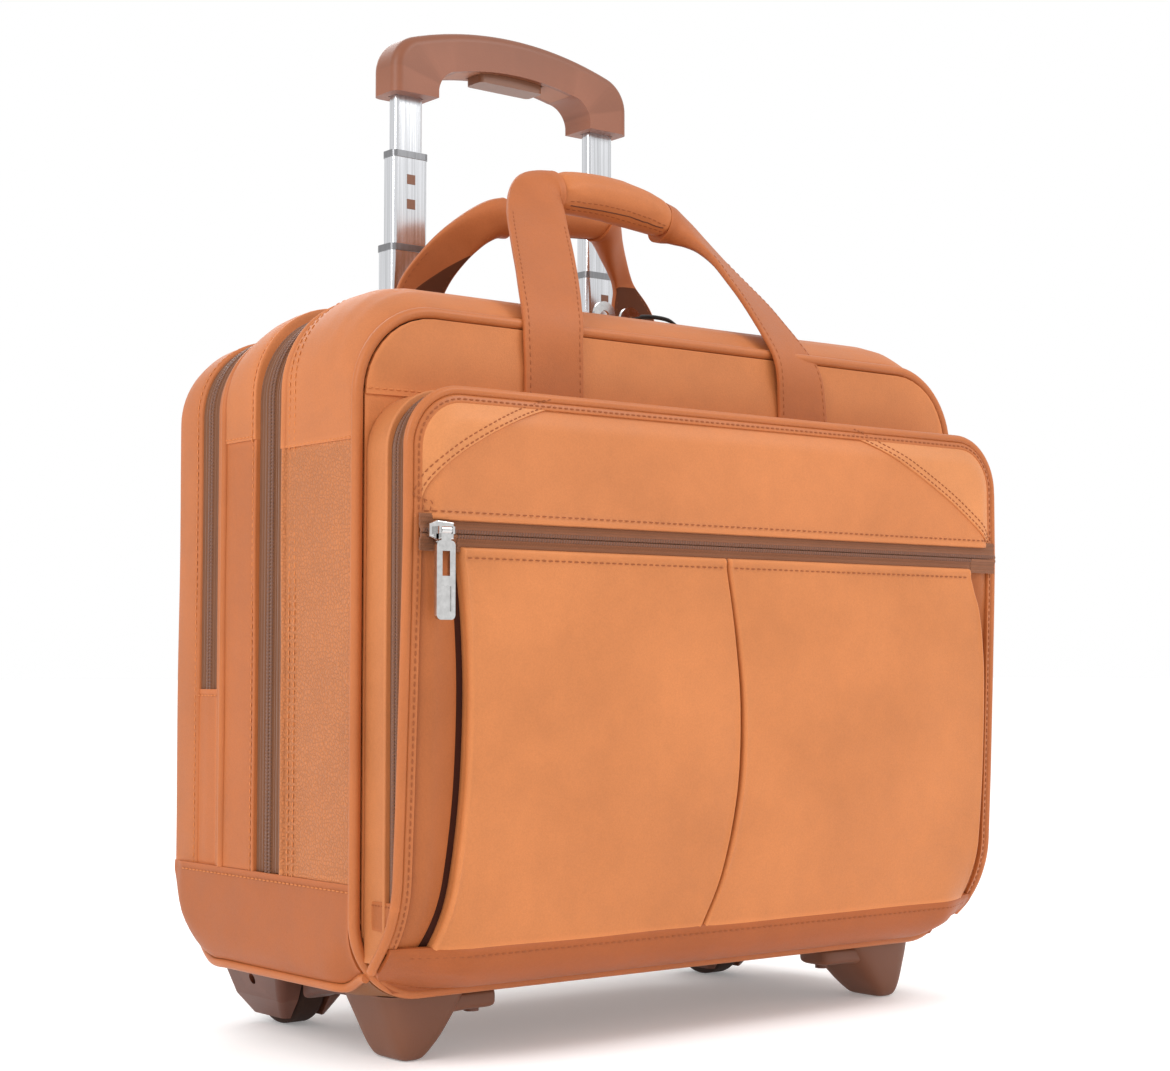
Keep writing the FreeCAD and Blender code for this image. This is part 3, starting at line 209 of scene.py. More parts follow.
def tube(name, pts, rad, body, mat, rep=(), n=12, closed=False, metres=False, ride=True):
    """A round cord through points, by parallel transport, with rounded ends."""
    pts = np.array(pts, float)
    N = len(pts)
    rad = np.full(N, rad, float) if np.isscalar(rad) else np.array(rad, float)
    tan = np.gradient(pts, axis=0)
    if closed:
        tan = np.roll(pts, -1, 0) - np.roll(pts, 1, 0)
    tan /= np.linalg.norm(tan, axis=1)[:, None]
    ref = np.array([0.0, 0, 1.0]) if abs(tan[0][2]) < 0.9 else np.array([0.0, 1.0, 0])
    verts = []
    for i in range(N):
        ref = ref - tan[i] * (ref @ tan[i])
        ref /= np.linalg.norm(ref)
        b = np.cross(tan[i], ref)
        for a in np.linspace(0, 2 * math.pi, n, endpoint=False):
            verts.append(pts[i] + rad[i] * (math.cos(a) * ref + math.sin(a) * b))
    faces = []
    for i in range(N if closed else N - 1):
        a, b2 = i * n, ((i + 1) % N) * n
        for j in range(n):
            k = (j + 1) % n
            faces.append((a + j, a + k, b2 + k, b2 + j))
    if not closed:
        faces.append(tuple(range(n)))
        faces.append(tuple((N - 1) * n + j for j in reversed(range(n))))
    return obj_from(name, verts, faces, body, mat, rep, 50, ride, metres)


def resample(pts, pitch, closed=False, extra=None):
    pts = np.array(pts, float)
    if closed:
        pts = np.vstack([pts, pts[:1]])
        extra = None if extra is None else np.vstack([extra, extra[:1]])
    seg = np.linalg.norm(np.diff(pts, axis=0), axis=1)
    s = np.concatenate([[0], np.cumsum(seg)])
    n = max(2, int(round(s[-1] / pitch)))
    t = np.linspace(0, s[-1], n + 1)
    if closed:
        t = t[:-1]
    out = np.column_stack([np.interp(t, s, pts[:, k]) for k in range(3)])
    if extra is None:
        return out, None
    ex = np.column_stack([np.interp(t, s, extra[:, k]) for k in range(3)])
    return out, ex / np.linalg.norm(ex, axis=1)[:, None]


def stitches(name, pts, nrm, body, pitch=4.1, L=2.9, w=0.42, h=0.34, mat=None, closed=False, ride=True, lift=0.12):
    """A row of thread stitches, each a small rounded bar sunk at both ends."""
    pts = np.array(pts, float)
    nrm = np.broadcast_to(np.array(nrm, float), pts.shape).copy()
    q, m = resample(pts, pitch, closed, nrm)
    tan = np.gradient(q, axis=0)
    tan /= np.linalg.norm(tan, axis=1)[:, None]
    rings = [(-0.5, 0.15, -0.55), (-0.36, 0.8, -0.05), (0.0, 1.0, 0.18), (0.36, 0.8, -0.05), (0.5, 0.15, -0.55)]
    K = 6
    verts, faces = [], []
    for i in range(len(q)):
        t, nn = tan[i], m[i]
        nn = nn - t * (nn @ t)
        nn /= np.linalg.norm(nn)
        b = np.cross(nn, t)
        base = len(verts)
        for s, r, up in rings:
            for a in np.linspace(0, 2 * math.pi, K, endpoint=False):
                verts.append(q[i] + t * s * L + b * math.cos(a) * w * r + nn * (math.sin(a) * h * r + up * h + lift))
        for k in range(len(rings) - 1):
            for j in range(K):
                j2 = (j + 1) % K
                faces.append((base + k * K + j, base + k * K + j2, base + (k + 1) * K + j2, base + (k + 1) * K + j))
        faces.append(tuple(base + j for j in reversed(range(K))))
        faces.append(tuple(base + (len(rings) - 1) * K + j for j in range(K)))
    return obj_from(name, verts, faces, body, mat or M["thread"], (), 60, ride)


def on_arch(pathfn, y, off, sel=None):
    p, n = pathfn(y)
    if sel is not None:
        p, n = p[sel], n[sel]
    q = p + n * off
    return (np.column_stack([q[:, 0], np.full(len(q), float(y)), q[:, 1]]),
            np.column_stack([n[:, 0], np.zeros(len(q)), n[:, 1]]))


def slab(name, grid, thick, body, mat, rep=(), angle=38.0, back=None, ride=True):
    """A closed sheet: grid is (rows, columns, 3) of its front face; the back face is thick further back in y."""
    g = np.array(grid, float)
    R, Cn = g.shape[:2]
    bk = g.copy()
    if back is None:
        bk[:, :, 1] += thick
    else:
        bk = back
    verts = np.concatenate([g.reshape(-1, 3), bk.reshape(-1, 3)])
    o = R * Cn
    faces = []
    for i in range(R - 1):
        for j in range(Cn - 1):
            a = i * Cn + j
            faces.append((a, a + 1, a + Cn + 1, a + Cn))
            faces.append((o + a, o + a + Cn, o + a + Cn + 1, o + a + 1))
    rim = [j for j in range(Cn)] + [i * Cn + Cn - 1 for i in range(1, R)] + \
          [(R - 1) * Cn + j for j in range(Cn - 2, -1, -1)] + [i * Cn for i in range(R - 2, 0, -1)]
    for k in range(len(rim)):
        a, b = rim[k], rim[(k + 1) % len(rim)]
        faces.append((a, o + a, o + b, b))
    return obj_from(name, verts, faces, body, mat, rep, angle, ride)


# ============================================================================ materials
def lin(c):
    return tuple(((v / 255.0) / 12.92 if v / 255.0 <= 0.04045 else ((v / 255.0 + 0.055) / 1.055) ** 2.4) for v in c)


class Mat:
    def __init__(self, name):
        self.m = bpy.data.materials.new(name)
        self.m.use_nodes = True
        self.t = self.m.node_tree
        self.t.nodes.clear()
        self.out = self.n("ShaderNodeOutputMaterial")
        self.b = self.n("ShaderNodeBsdfPrincipled")
        self.t.links.new(self.b.outputs[0], self.out.inputs[0])
        self.co = self.n("ShaderNodeTexCoord").outputs["Object"]

    def n(self, kind, **kw):
        x = self.t.nodes.new(kind)
        for k, v in kw.items():
            setattr(x, k, v)
        return x

    def link(self, a, b):
        self.t.links.new(a, b)

    def noise(self, scale, detail=3.0, rough=0.55, vec=None, dist=0.0):
        x = self.n("ShaderNodeTexNoise")
        x.inputs["Scale"].default_value = scale
        x.inputs["Detail"].default_value = detail
        x.inputs["Roughness"].default_value = rough
        x.inputs["Distortion"].default_value = dist
        self.link(vec or self.co, x.inputs["Vector"])
        return x.outputs["Fac"]

    def voronoi(self, scale, feature="DISTANCE_TO_EDGE", vec=None):
        x = self.n("ShaderNodeTexVoronoi", feature=feature)
        x.inputs["Scale"].default_value = scale
        self.link(vec or self.co, x.inputs["Vector"])
        return x.outputs["Distance"]

    def stretch(self, sx, sy, sz):
        x = self.n("ShaderNodeMapping")
        x.inputs["Scale"].default_value = (sx, sy, sz)
        self.link(self.co, x.inputs["Vector"])
        return x.outputs[0]

    def ramp(self, fac, stops):
        x = self.n("ShaderNodeValToRGB")
        el = x.color_ramp.elements
        while len(el) < len(stops):
            el.new(0.5)
        for e, (pos, c) in zip(el, stops):
            e.position = pos
            e.color = (*c, 1) if hasattr(c, "__len__") else (c, c, c, 1)
        self.link(fac, x.inputs[0])
        return x.outputs[0]

    def mix(self, fac, a, b, mode="MIX"):
        x = self.n("ShaderNodeMix", data_type="RGBA", blend_type=mode)
        for v, s in ((fac, 0), (a, 6), (b, 7)):
            if hasattr(v, "is_linked") or hasattr(v, "links"):
                self.link(v, x.inputs[s])
            elif s == 0:
                x.inputs[0].default_value = v
            else:
                x.inputs[s].default_value = (*v, 1)
        return x.outputs[2]

    def math(self, op, a, b=0.0):
        x = self.n("ShaderNodeMath", operation=op)
        for v, i in ((a, 0), (b, 1)):
            if hasattr(v, "links"):
                self.link(v, x.inputs[i])
            else:
                x.inputs[i].default_value = v
        return x.outputs[0]

    def bump(self, h, strength, dist, normal=None):
        x = self.n("ShaderNodeBump")
        x.inputs["Strength"].default_value = strength
        x.inputs["Distance"].default_value = dist
        self.link(h, x.inputs["Height"])
        if normal is not None:
            self.link(normal, x.inputs["Normal"])
        return x.outputs[0]

    def set(self, **kw):
        for k, v in kw.items():
            s = self.b.inputs[k.replace("_", " ")]
            if hasattr(v, "links"):
                self.link(v, s)
            elif hasattr(v, "__len__"):
                s.default_value = (*v, 1) if len(v) == 3 else v
            else:
                s.default_value = v


GAIN = np.array([0.70, 0.60, 0.45])   # albedo for the shown colour under this scene's light


def col(rgb, k=1.0):
    return tuple(min(1.0, v * g * k) for v, g in zip(lin(rgb), GAIN))


def leather(name, rgb, grain=1.0, pebble=False, rough=0.52, var=0.13, sat=1.0):
    m = Mat(name)
    base = np.array(col(rgb))
    big = m.noise(11.0, 3.0, 0.5, dist=0.3)
    mid = m.noise(70.0, 5.0, 0.62)
    fine = m.noise(900.0, 3.0, 0.6)
    lo, hi = tuple(base * (1 - var) * np.array([0.98, 0.95, 0.90])), tuple(np.minimum(base * (1 + var * 0.8), 1))
    c = m.ramp(big, [(0.30, lo), (0.70, hi)])
    c = m.mix(0.26, c, m.ramp(mid, [(0.3, tuple(base * 0.80)), (0.7, tuple(np.minimum(base * 1.16, 1)))]))
    c = m.mix(0.10, c, m.ramp(fine, [(0.35, tuple(base * 0.62)), (0.62, tuple(np.minimum(base * 1.25, 1)))]))
    warp = m.n("ShaderNodeVectorMath", operation="ADD")
    wn = m.n("ShaderNodeTexNoise")
    wn.inputs["Scale"].default_value = 160.0
    m.link(m.co, wn.inputs["Vector"])
    sc = m.n("ShaderNodeVectorMath", operation="SCALE")
    sc.inputs["Scale"].default_value = 0.0016
    m.link(wn.outputs["Color"], sc.inputs[0])
    m.link(m.co, warp.inputs[0])
    m.link(sc.outputs[0], warp.inputs[1])
    if pebble:
        v = m.voronoi(470.0, vec=warp.outputs[0])
        cell = m.ramp(v, [(0.0, 0.0), (0.16, 0.75), (0.5, 1.0)])
        c = m.mix(m.math("MULTIPLY", m.math("SUBTRACT", 1.0, cell), 0.55), c, tuple(base * 0.62))
        h1 = m.bump(cell, 0.55, 0.0007)
        n2 = m.bump(fine, 0.22, 0.0003, h1)
    else:
        v = m.voronoi(880.0, vec=warp.outputs[0])
        cell = m.ramp(v, [(0.0, 0.0), (0.12, 0.8), (0.4, 1.0)])
        c = m.mix(m.math("MULTIPLY", m.math("SUBTRACT", 1.0, cell), 0.16), c, tuple(base * 0.70))
        h1 = m.bump(cell, 0.16 * grain, 0.0003)
        n2 = m.bump(mid, 0.10, 0.0012, h1)
        n2 = m.bump(fine, 0.12 * grain, 0.0002, n2)
    geo = m.n("ShaderNodeNewGeometry")
    wear = m.ramp(geo.outputs["Pointiness"], [(0.515, 0.0), (0.57, 1.0)])
    c = m.mix(m.math("MULTIPLY", wear, 0.30), c, tuple(np.minimum(base * 1.45, 1)))
    # painted shade: concave spots (low pointiness) such as creases, seams and hollows are darkened towards deep brown,
    # standing in for the shade that gathers there
    low = m.ramp(geo.outputs["Pointiness"], [(0.42, 1.0), (0.485, 0.0)])
    c = m.mix(m.math("MULTIPLY", low, 0.45), c, tuple(base * np.array([0.50, 0.40, 0.34])))
    r = m.math("ADD", m.math("MULTIPLY", mid, 0.22), rough - 0.11)
    m.set(Base_Color=c, Roughness=r, Normal=n2, Specular_IOR_Level=0.26, Sheen_Weight=0.03, Sheen_Roughness=0.45)
    m.b.inputs["Sheen Tint"].default_value = (1.0, 0.86, 0.74, 1)
    return m.m


def woven(name, rgb, along="z", rough=0.8):
    """Ribbed woven tape."""
    m = Mat(name)
    base = np.array(col(rgb))
    w1 = m.n("ShaderNodeTexWave", wave_type="BANDS", bands_direction="Y")
    w1.inputs["Scale"].default_value = 420.0
    w1.inputs["Distortion"].default_value = 0.6
    w2 = m.n("ShaderNodeTexWave", wave_type="BANDS", bands_direction="DIAGONAL")
    w2.inputs["Scale"].default_value = 620.0
    for w in (w1, w2):
        m.link(m.co, w.inputs["Vector"])
    h = m.math("ADD", m.math("MULTIPLY", w1.outputs["Fac"], 0.6), m.math("MULTIPLY", w2.outputs["Fac"], 0.4))
    big = m.noise(30.0, 3.0)
    fine = m.noise(1500.0, 2.0)
    c = m.ramp(h, [(0.1, tuple(base * 0.72)), (0.8, tuple(np.minimum(base * 1.18, 1)))])
    c = m.mix(0.30, c, m.ramp(big, [(0.3, tuple(base * 0.82)), (0.7, tuple(np.minimum(base * 1.15, 1)))]))
    nn = m.bump(h, 0.5, 0.0004)
    nn = m.bump(fine, 0.2, 0.0002, nn)
    m.set(Base_Color=c, Roughness=rough, Normal=nn, Specular_IOR_Level=0.2, Sheen_Weight=0.25)
    return m.m


def metal(name, rgb, rough=0.25, brush=(900, 900, 8), dark=0.10):
    m = Mat(name)
    base = np.array(lin(rgb))
    s = m.noise(1.0, 3.0, 0.6, vec=m.stretch(*brush))
    big = m.noise(25.0, 2.0)
    c = m.ramp(s, [(0.3, tuple(base * (1 - dark))), (0.7, tuple(np.minimum(base * 1.05, 1)))])
    r = m.math("ADD", m.math("MULTIPLY", s, 0.10), m.math("ADD", m.math("MULTIPLY", big, 0.08), rough - 0.09))
    m.set(Base_Color=c, Metallic=1.0, Roughness=r, Normal=m.bump(s, 0.05, 0.0002))
    return m.m


def plastic(name, rgb, rough=0.42, grain=1.0, gloss=0.45):
    m = Mat(name)
    base = np.array(col(rgb))
    spark = m.noise(1400.0, 2.0)
    cells = m.voronoi(1100.0, "F1")
    big = m.noise(18.0, 3.0)
    c = m.ramp(big, [(0.3, tuple(base * 0.90)), (0.7, tuple(np.minimum(base * 1.08, 1)))])
    geo = m.n("ShaderNodeNewGeometry")
    wear = m.ramp(geo.outputs["Pointiness"], [(0.52, 0.0), (0.60, 1.0)])
    c = m.mix(m.math("MULTIPLY", wear, 0.35), c, tuple(np.minimum(base * 1.55 + 0.02, 1)))
    nn = m.bump(cells, 0.10 * grain, 0.0003)
    nn = m.bump(spark, 0.10 * grain, 0.0002, nn)
    r = m.math("ADD", m.math("MULTIPLY", spark, 0.12), rough - 0.06)
    m.set(Base_Color=c, Roughness=r, Normal=nn, Specular_IOR_Level=gloss)
    return m.m


M = {
    "top": leather("leather_upper", (226, 150, 102)),
    "patch": leather("leather_corner", (236, 164, 116)),
    "pocket": leather("leather_pocket", (227, 151, 101)),
    "margin": leather("leather_margin", (192, 117, 72)),
    "panel": leather("leather_front", (222, 146, 98)),
    "crown": leather("leather_crown", (218, 141, 95)),
    "pebble": leather("leather_pebbled", (216, 142, 96), pebble=True, rough=0.48),
    "side": leather("leather_side", (205, 126, 79)),
    "base": leather("leather_base", (190, 113, 68)),
    "back": leather("leather_back", (206, 130, 86)),
    "band": leather("leather_band", (187, 108, 63)),
    "piping": leather("leather_piping", (205, 128, 82), grain=0.6, rough=0.42),
    "gusset": leather("leather_pocket_side", (218, 146, 101)),
    "strap": leather("leather_strap", (200, 122, 77)),
    "roll": leather("leather_roll", (216, 138, 90)),
    "olive": leather("leather_underside", (150, 102, 70), rough=0.6),
    # dark brown of the strap backing: partly the napped underside leather's own colour, partly painted shade of the
    # downward-facing strap face
    "suede_and_shade": leather("suede_back_and_painted_shade", (104, 60, 38), rough=0.85),
    "collar_metal": metal("collar_steel", (132, 132, 134), 0.3),
    # painted shade: near-black brown for the pleat floors, standing in for the shadow inside the pleats
    "pleat_shade": leather("painted_pleat_shade", (70, 30, 15), rough=0.8),
    # dark brown: partly the leather's own cut-edge colour, partly painted shade for the dark line along the piping
    "edge": leather("cut_edge_and_painted_seam_shade", (105, 55, 34), rough=0.55, grain=0.5),
    "lining": woven("lining_cloth", (110, 88, 70)),
    "tape": woven("zip_tape_brown", (136, 93, 70)),
    "tape_front": woven("zip_tape_front", (150, 99, 72)),
    "coil": plastic("zip_coil_brown", (112, 72, 54), rough=0.36, grain=0.3),
    "thread": plastic("thread_tan", (214, 140, 92), rough=0.7, grain=0.6, gloss=0.2),
    "thread_dark": plastic("thread_brown", (158, 92, 56), rough=0.7, grain=0.6, gloss=0.2),
    "nickel": metal("nickel_plate", (206, 205, 204), 0.14, (300, 300, 300), 0.16),
    "tube": metal("satin_aluminium", (216, 217, 220), 0.20, dark=0.24),
    "steel": metal("zinc_steel", (180, 180, 178), 0.3, (300, 300, 300)),
    "grip": plastic("grip_plastic", (146, 92, 70), rough=0.46),
    "grip_soft": plastic("grip_insert", (170, 118, 96), rough=0.55),
    "collar": plastic("collar_plastic", (132, 90, 70), rough=0.4),
    "foot": plastic("foot_plastic", (134, 88, 68), rough=0.5),
    "housing": plastic("housing_plastic", (112, 66, 50), rough=0.42),
    "tyre": plastic("tyre_rubber", (66, 44, 38), rough=0.7, gloss=0.25),
    "hub": plastic("hub_plastic", (96, 66, 54), rough=0.4),
    "board": plastic("base_board", (86, 62, 48), rough=0.6),
    "black": plastic("moulded_black", (34, 32, 33), rough=0.45),
}

# finishes for the CAD pieces that stay
CAD_MAT = {
    "base_board": "board", "base_screws": "housing", "divider_wall": "lining", "file_divider": "lining", "trolley_wall": "board",
    "sleeve_tubes": "tube", "trolley_bracket": "board", "trolley_bezels": "collar", "wheel_housings": "housing",
    "wheel_axles": "steel", "foot_rails": "foot", "organizer_pockets": "lining", "lower_tubes": "tube", "lower_collars": "collar_metal",
    "middle_tubes": "tube", "middle_collars": "collar_metal", "inner_tubes": "tube", "grip_shell": "grip", "grip_underside": "grip_soft",
    "grip_button": "collar", "release_rods": "steel", "tyre_left": "tyre", "tyre_right": "tyre", "hub_left": "hub",
    "hub_right": "hub", "front_slider": "nickel", "front_pull": "nickel", "main_slider_left": "nickel",
    "main_slider_right": "nickel", "organizer_slider": "nickel", "laptop_slider": "nickel",
}
for _n, _m in CAD_MAT.items():
    if _n in NODES:
        NODES[_n].data.materials.clear()
        NODES[_n].data.materials.append(M[_m])

# ============================================================================ the case's outline
TOPY = [(-3, 380.8), (3, 381.0), (8, 385.5), (16, 390.5), (28, 394.4), (40, 395.8), (55, 395.4), (66, 393.2), (71, 391.9),
        (71.5, 390.4), (97, 390.4), (97.5, 392.0), (106, 392.8), (116, 391.4), (124, 388.0), (130.4, 384.6), (141, 382.6),
        (161, 381.2), (166, 381.0), (178, 379.6), (184, 377.6), (188, 376.6)]
RTY = [(-3, 48), (3, 48), (20, 50), (60, 51), (71, 51), (97, 51), (116, 50), (130.4, 47), (161, 45), (188, 43)]


def top(y):
    return float(np.interp(y, [a for a, _ in TOPY], [b for _, b in TOPY]))


def rt(y):
    return float(np.interp(y, [a for a, _ in RTY], [b for _, b in RTY]))


BAND = 91.0


def body_arch(hw=215.0, zf=BAND + 0.4, dz=0.0):
    return lambda y: arch(hw, zf, top(y) + dz, rt(y))


A215 = body_arch(215.0)
SEAM_F, SEAM_R = 310.0, 318.0


def above(pathfn, y, zmin):
    """Indices of the path above a level."""
    return np.where(pathfn(y)[0][:, 1] > zmin)[0]


P0, _ = A215(40.0)
Z0 = P0[:, 1]
RIGHT = P0[:, 0] > 0
IDX = np.arange(len(P0))
LOW_R = IDX[(Z0 < SEAM_F + 3.5) & RIGHT & (IDX < 100)]
LOW_L = IDX[(Z0 < SEAM_F + 3.5) & ~RIGHT]
UP = IDX[(Z0 >= SEAM_F - 1.0)]
LOW2_R = IDX[(Z0 < SEAM_R + 3.5) & RIGHT & (IDX < 100)]
LOW2_L = IDX[(Z0 < SEAM_R + 3.5) & ~RIGHT]
UP2 = IDX[(Z0 >= SEAM_R - 1.0)]

# --- front piping, all the way round
FL = lambda y: loop(215.0, 36.2, 378.0, 45.0, 38.0)
sweep("front_piping_cord", circle(0.0, 0.0, 3.0, 16), FL, "front_shell", M["piping"], ("front_piping",), closed=True)
# the flange's dark brown is partly a real cut edge and partly painted shade: it draws the shadow line inside the piping
# ring
sweep("front_piping_flange", strip(-0.8, 2.6, -3.6, 1.2, 0.4, 2.0), FL, "front_shell", M["edge"], closed=True)

# --- front gusset: smooth crown above the side seams, pebbled hide below
sweep("front_gusset_crown", strip(3.2, 70.9, 0.7, 3.2, 0.9, 3.2, roll1=1.1), A215, "front_shell", M["crown"],
      ("front_gusset",), sel=UP, ripple=0.28)
for side, sel in (("left", LOW_L), ("right", LOW_R)):
    sweep("front_gusset_pebbled_" + side, strip(3.2, 70.9, 0.0, 3.2, 0.9, 3.2, roll1=1.1), A215, "front_shell", M["pebble"],
          sel=sel, ripple=0.35)
for k, (y, o) in enumerate(((58.2, 0.75), (63.4, 0.75))):
    p, n = on_arch(A215, y, o, UP)
    stitches("gusset_stitch_top_%d" % k, p, n, "front_shell")
    for side, sel in (("left", LOW_L), ("right", LOW_R)):
        p, n = on_arch(A215, y, o - 0.7, sel)
        stitches("gusset_stitch_%s_%d" % (side, k), p, n, "front_shell")
for s in (-1, 1):
    q = [(s * 215.75, y, SEAM_F + 2.4) for y in np.linspace(6, 66, 20)]
    stitches("gusset_seam_stitch_%s" % ("l" if s < 0 else "r"), q, (s, 0, 0), "front_shell", pitch=3.6, L=2.5)

# --- main zip: two tapes with a reversed coil, seen between the folded edges
ZT = body_arch(213.4, BAND + 0.6, -1.6)


def tape_prof(y0, y1, coil_at_end, t=1.5):
    a, b = (y0, y1)
    pr = []
    ys = np.linspace(a, b, 22)
    for y in ys:
        d = (b - y) if coil_at_end else (y - a)
        o = 0.0 + 0.35 * math.sin(d * 2.2) * (1 if d > 3.4 else 0)
        if d < 3.2:
            o = 0.2 + 1.15 * math.sin(min(1.0, max(0.0, (3.2 - d) / 3.2)) * math.pi * 0.80)
        pr.append((float(y), o))
    return pr + [(b, -t), (a, -t)]


sweep("main_zip_tape_front", tape_prof(69.5, 83.75, True), ZT, "front_shell", M["tape"], ("main_zip_front_tape",))
sweep("main_zip_tape_rear", tape_prof(84.25, 98.6, False), ZT, "root", M["tape"], ("main_zip_rear_tape",))


def coil_teeth(name, pathfn, ya, yb, off, body, pitch=1.9, mat="coil", w=1.0, h=0.42, sel=None):
    """The ridges of a coil zip: a short cross bar at every pitch, angled as the filament lies."""
    p, n = on_arch(pathfn, (ya + yb) / 2, off, sel)
    q, m = resample(p, pitch, False, n)
    tan = np.gradient(q, axis=0)
    tan /= np.linalg.norm(tan, axis=1)[:, None]
    verts, faces = [], []
    L = abs(yb - ya)
    for i in range(len(q)):
        t, nn = tan[i], m[i]
        b = np.array([0.0, 1.0, 0.0])
        o = len(verts)
        for s in (-0.5, -0.3, 0.3, 0.5):
            r = 0.45 if abs(s) > 0.4 else 1.0
            for a in (0.0, 60.0, 120.0, 180.0):
                ar = math.radians(a)
                verts.append(q[i] + b * s * L + t * (math.cos(ar) * pitch * 0.40 * w * r + s * 0.5) + nn * math.sin(ar) * h * r)
        for k in range(3):
            for j in range(3):
                faces.append((o + k * 4 + j, o + k * 4 + j + 1, o + k * 4 + 5 + j, o + k * 4 + 4 + j))
            faces.append((o + k * 4 + 3, o + k * 4, o + k * 4 + 4, o + k * 4 + 7))
        faces.append((o, o + 1, o + 2, o + 3))
        faces.append((o + 15, o + 14, o + 13, o + 12))
    return obj_from(name, verts, faces, body, M[mat], (), 50)


coil_teeth("main_zip_coil_front", ZT, 81.0, 83.7, 1.15, "front_shell")
coil_teeth("main_zip_coil_rear", ZT, 84.3, 87.0, 1.15, "root")

# --- rear gusset
sweep("rear_gusset_crown", strip(97.1, 130.6, 0.7, 3.2, 0.9, 3.2, roll0=1.1), A215, "root", M["crown"],
      ("rear_gusset",), sel=UP2, ripple=0.28)
for side, sel in (("left", LOW2_L), ("right", LOW2_R)):
    sweep("rear_gusset_side_" + side, strip(97.1, 130.6, 0.0, 3.2, 0.9, 3.2, roll0=1.1), A215, "root", M["side"],
          sel=sel, ripple=0.3)
for s in (-1, 1):
    q = [(s * 215.75, y, SEAM_R + 2.4) for y in np.linspace(103, 129, 10)]
    stitches("rear_seam_stitch_%s" % ("l" if s < 0 else "r"), q, (s, 0, 0), "root", pitch=3.6, L=2.5)
p, n = on_arch(A215, 101.6, 0.75, UP2)
stitches("rear_gusset_stitch_top", p, n, "root")
for side, sel in (("left", LOW2_L), ("right", LOW2_R)):
    p, n = on_arch(A215, 101.6, 0.05, sel)
    stitches("rear_gusset_stitch_" + side, p, n, "root")

# --- rear piping and the edge behind it
RP = lambda y: arch(214.2, BAND + 0.2, 381.6, 45.0)
sweep("rear_piping_cord", circle(133.0, 0.0, 2.6, 14), RP, "root", M["piping"], ("rear_piping",))
ES = body_arch(213.9, BAND + 0.2, -0.4)
sweep("rear_edge_strip_skin", strip(135.2, 141.6, 0.0, 3.0, 0.9, 2.0), ES, "root", M["back"], ("rear_edge_strip",))

# --- laptop compartment's zip and the back band
LZ = body_arch(212.2, 184.0, -0.8)
pl = LZ(150.0)[0]
sides_l = np.where((pl[:, 0] < 0) & ((pl[:, 1] < 352) | (pl[:, 0] < -166)))[0]
sides_r = np.where((pl[:, 0] > 0) & ((pl[:, 1] < 352) | (pl[:, 0] > 166)))[0]
mids = np.where((np.abs(pl[:, 0]) <= 167))[0]
sweep("laptop_zip_tape_rear", tape_prof(151.2, 162.0, False), LZ, "root", M["tape"], ("laptop_zip_tapes",))
for side, sel in (("left", sides_l), ("right", sides_r)):
    sweep("laptop_zip_tape_side_" + side, tape_prof(140.4, 150.8, True), LZ, "root", M["tape"], sel=sel)
sweep("laptop_zip_tape_top", tape_prof(140.4, 150.8, True), LZ, "laptop_flap", M["tape"],
      ("laptop_zip_top_tape",), sel=mids)
coil_teeth("laptop_zip_coil_rear", LZ, 151.3, 153.6, 1.1, "root")
coil_teeth("laptop_zip_coil_left", LZ, 148.4, 150.7, 1.1, "root", sel=sides_l)
coil_teeth("laptop_zip_coil_right", LZ, 148.4, 150.7, 1.1, "root", sel=sides_r)
coil_teeth("laptop_zip_coil_top", LZ, 148.4, 150.7, 1.1, "laptop_flap", sel=mids)
for s in (-1, 1):                       # closed side strips below the zip's ends
    g = [[(s * (213.9 - 0.5 * abs(v)), y, z) for v, y in zip(np.linspace(-1, 1, 9), np.linspace(141.2, 161.4, 9))]
         for z in np.linspace(BAND + 0.2, 186.0, 26)]
    g = np.array(g)
    bk = g.copy()
    bk[:, :, 0] -= s * 3.0
    slab("side_strip_%s" % ("left" if s < 0 else "right"), g, 0, "root", M["side"], back=bk)
    q = [(s * 213.9, y, 182.6) for y in np.linspace(142.5, 160, 8)]
    stitches("side_strip_stitch_%s" % ("l" if s < 0 else "r"), q, (s, 0, 0), "root", pitch=3.4, L=2.4)
BB = body_arch(213.2, BAND + 0.2, 0.0)
sweep("back_band_skin", strip(160.6, 186.8, 0.3, 3.0, 1.6, 3.0, bulge=0.6, roll0=0.8), BB, "root", M["back"],
      ("back_gusset",), ripple=0.25)
p, n = on_arch(BB, 164.9, 0.6)
stitches("back_band_stitch", p, n, "root")


# --- base: a band round both sides and an underside, on one surface whose rear lower edge turns up
def base_floor(y):
    r = 46.0
    if y > 187.0 - r:
        t = min(1.0, (y - (187.0 - r)) / r)
        return 33.2 + r * (1 - math.sqrt(max(0.0, 1 - (t * 0.985) ** 2)))
    return 33.2


def base_half(y, side, n=40):
    """From the top of the band down the side, round the lower corner and in to the middle; points and normals in (x, z)."""
    zf = base_floor(y)
    r = min(22.0 + 14.0 * float(1 - smooth01((y - 3.0) / 26.0)), (BAND - zf) * 0.9)
    hw = 215.0
    total = [(hw, z) for z in np.linspace(BAND, zf + r, 12)]
    nr = [(1.0, 0.0)] * 12
    for a in np.linspace(0, -90, 19)[1:]:
        ar = math.radians(a)
        total.append((hw - r + r * math.cos(ar), zf + r + r * math.sin(ar)))
        nr.append((math.cos(ar), math.sin(ar)))
    for x in np.linspace(hw - r, 0, 18)[1:]:
        total.append((x, zf))
        nr.append((0.0, -1.0))
    t = np.array(total, float)
    nrm = np.array(nr, float)
    t[:, 0] *= side
    nrm[:, 0] *= side
    return t, nrm


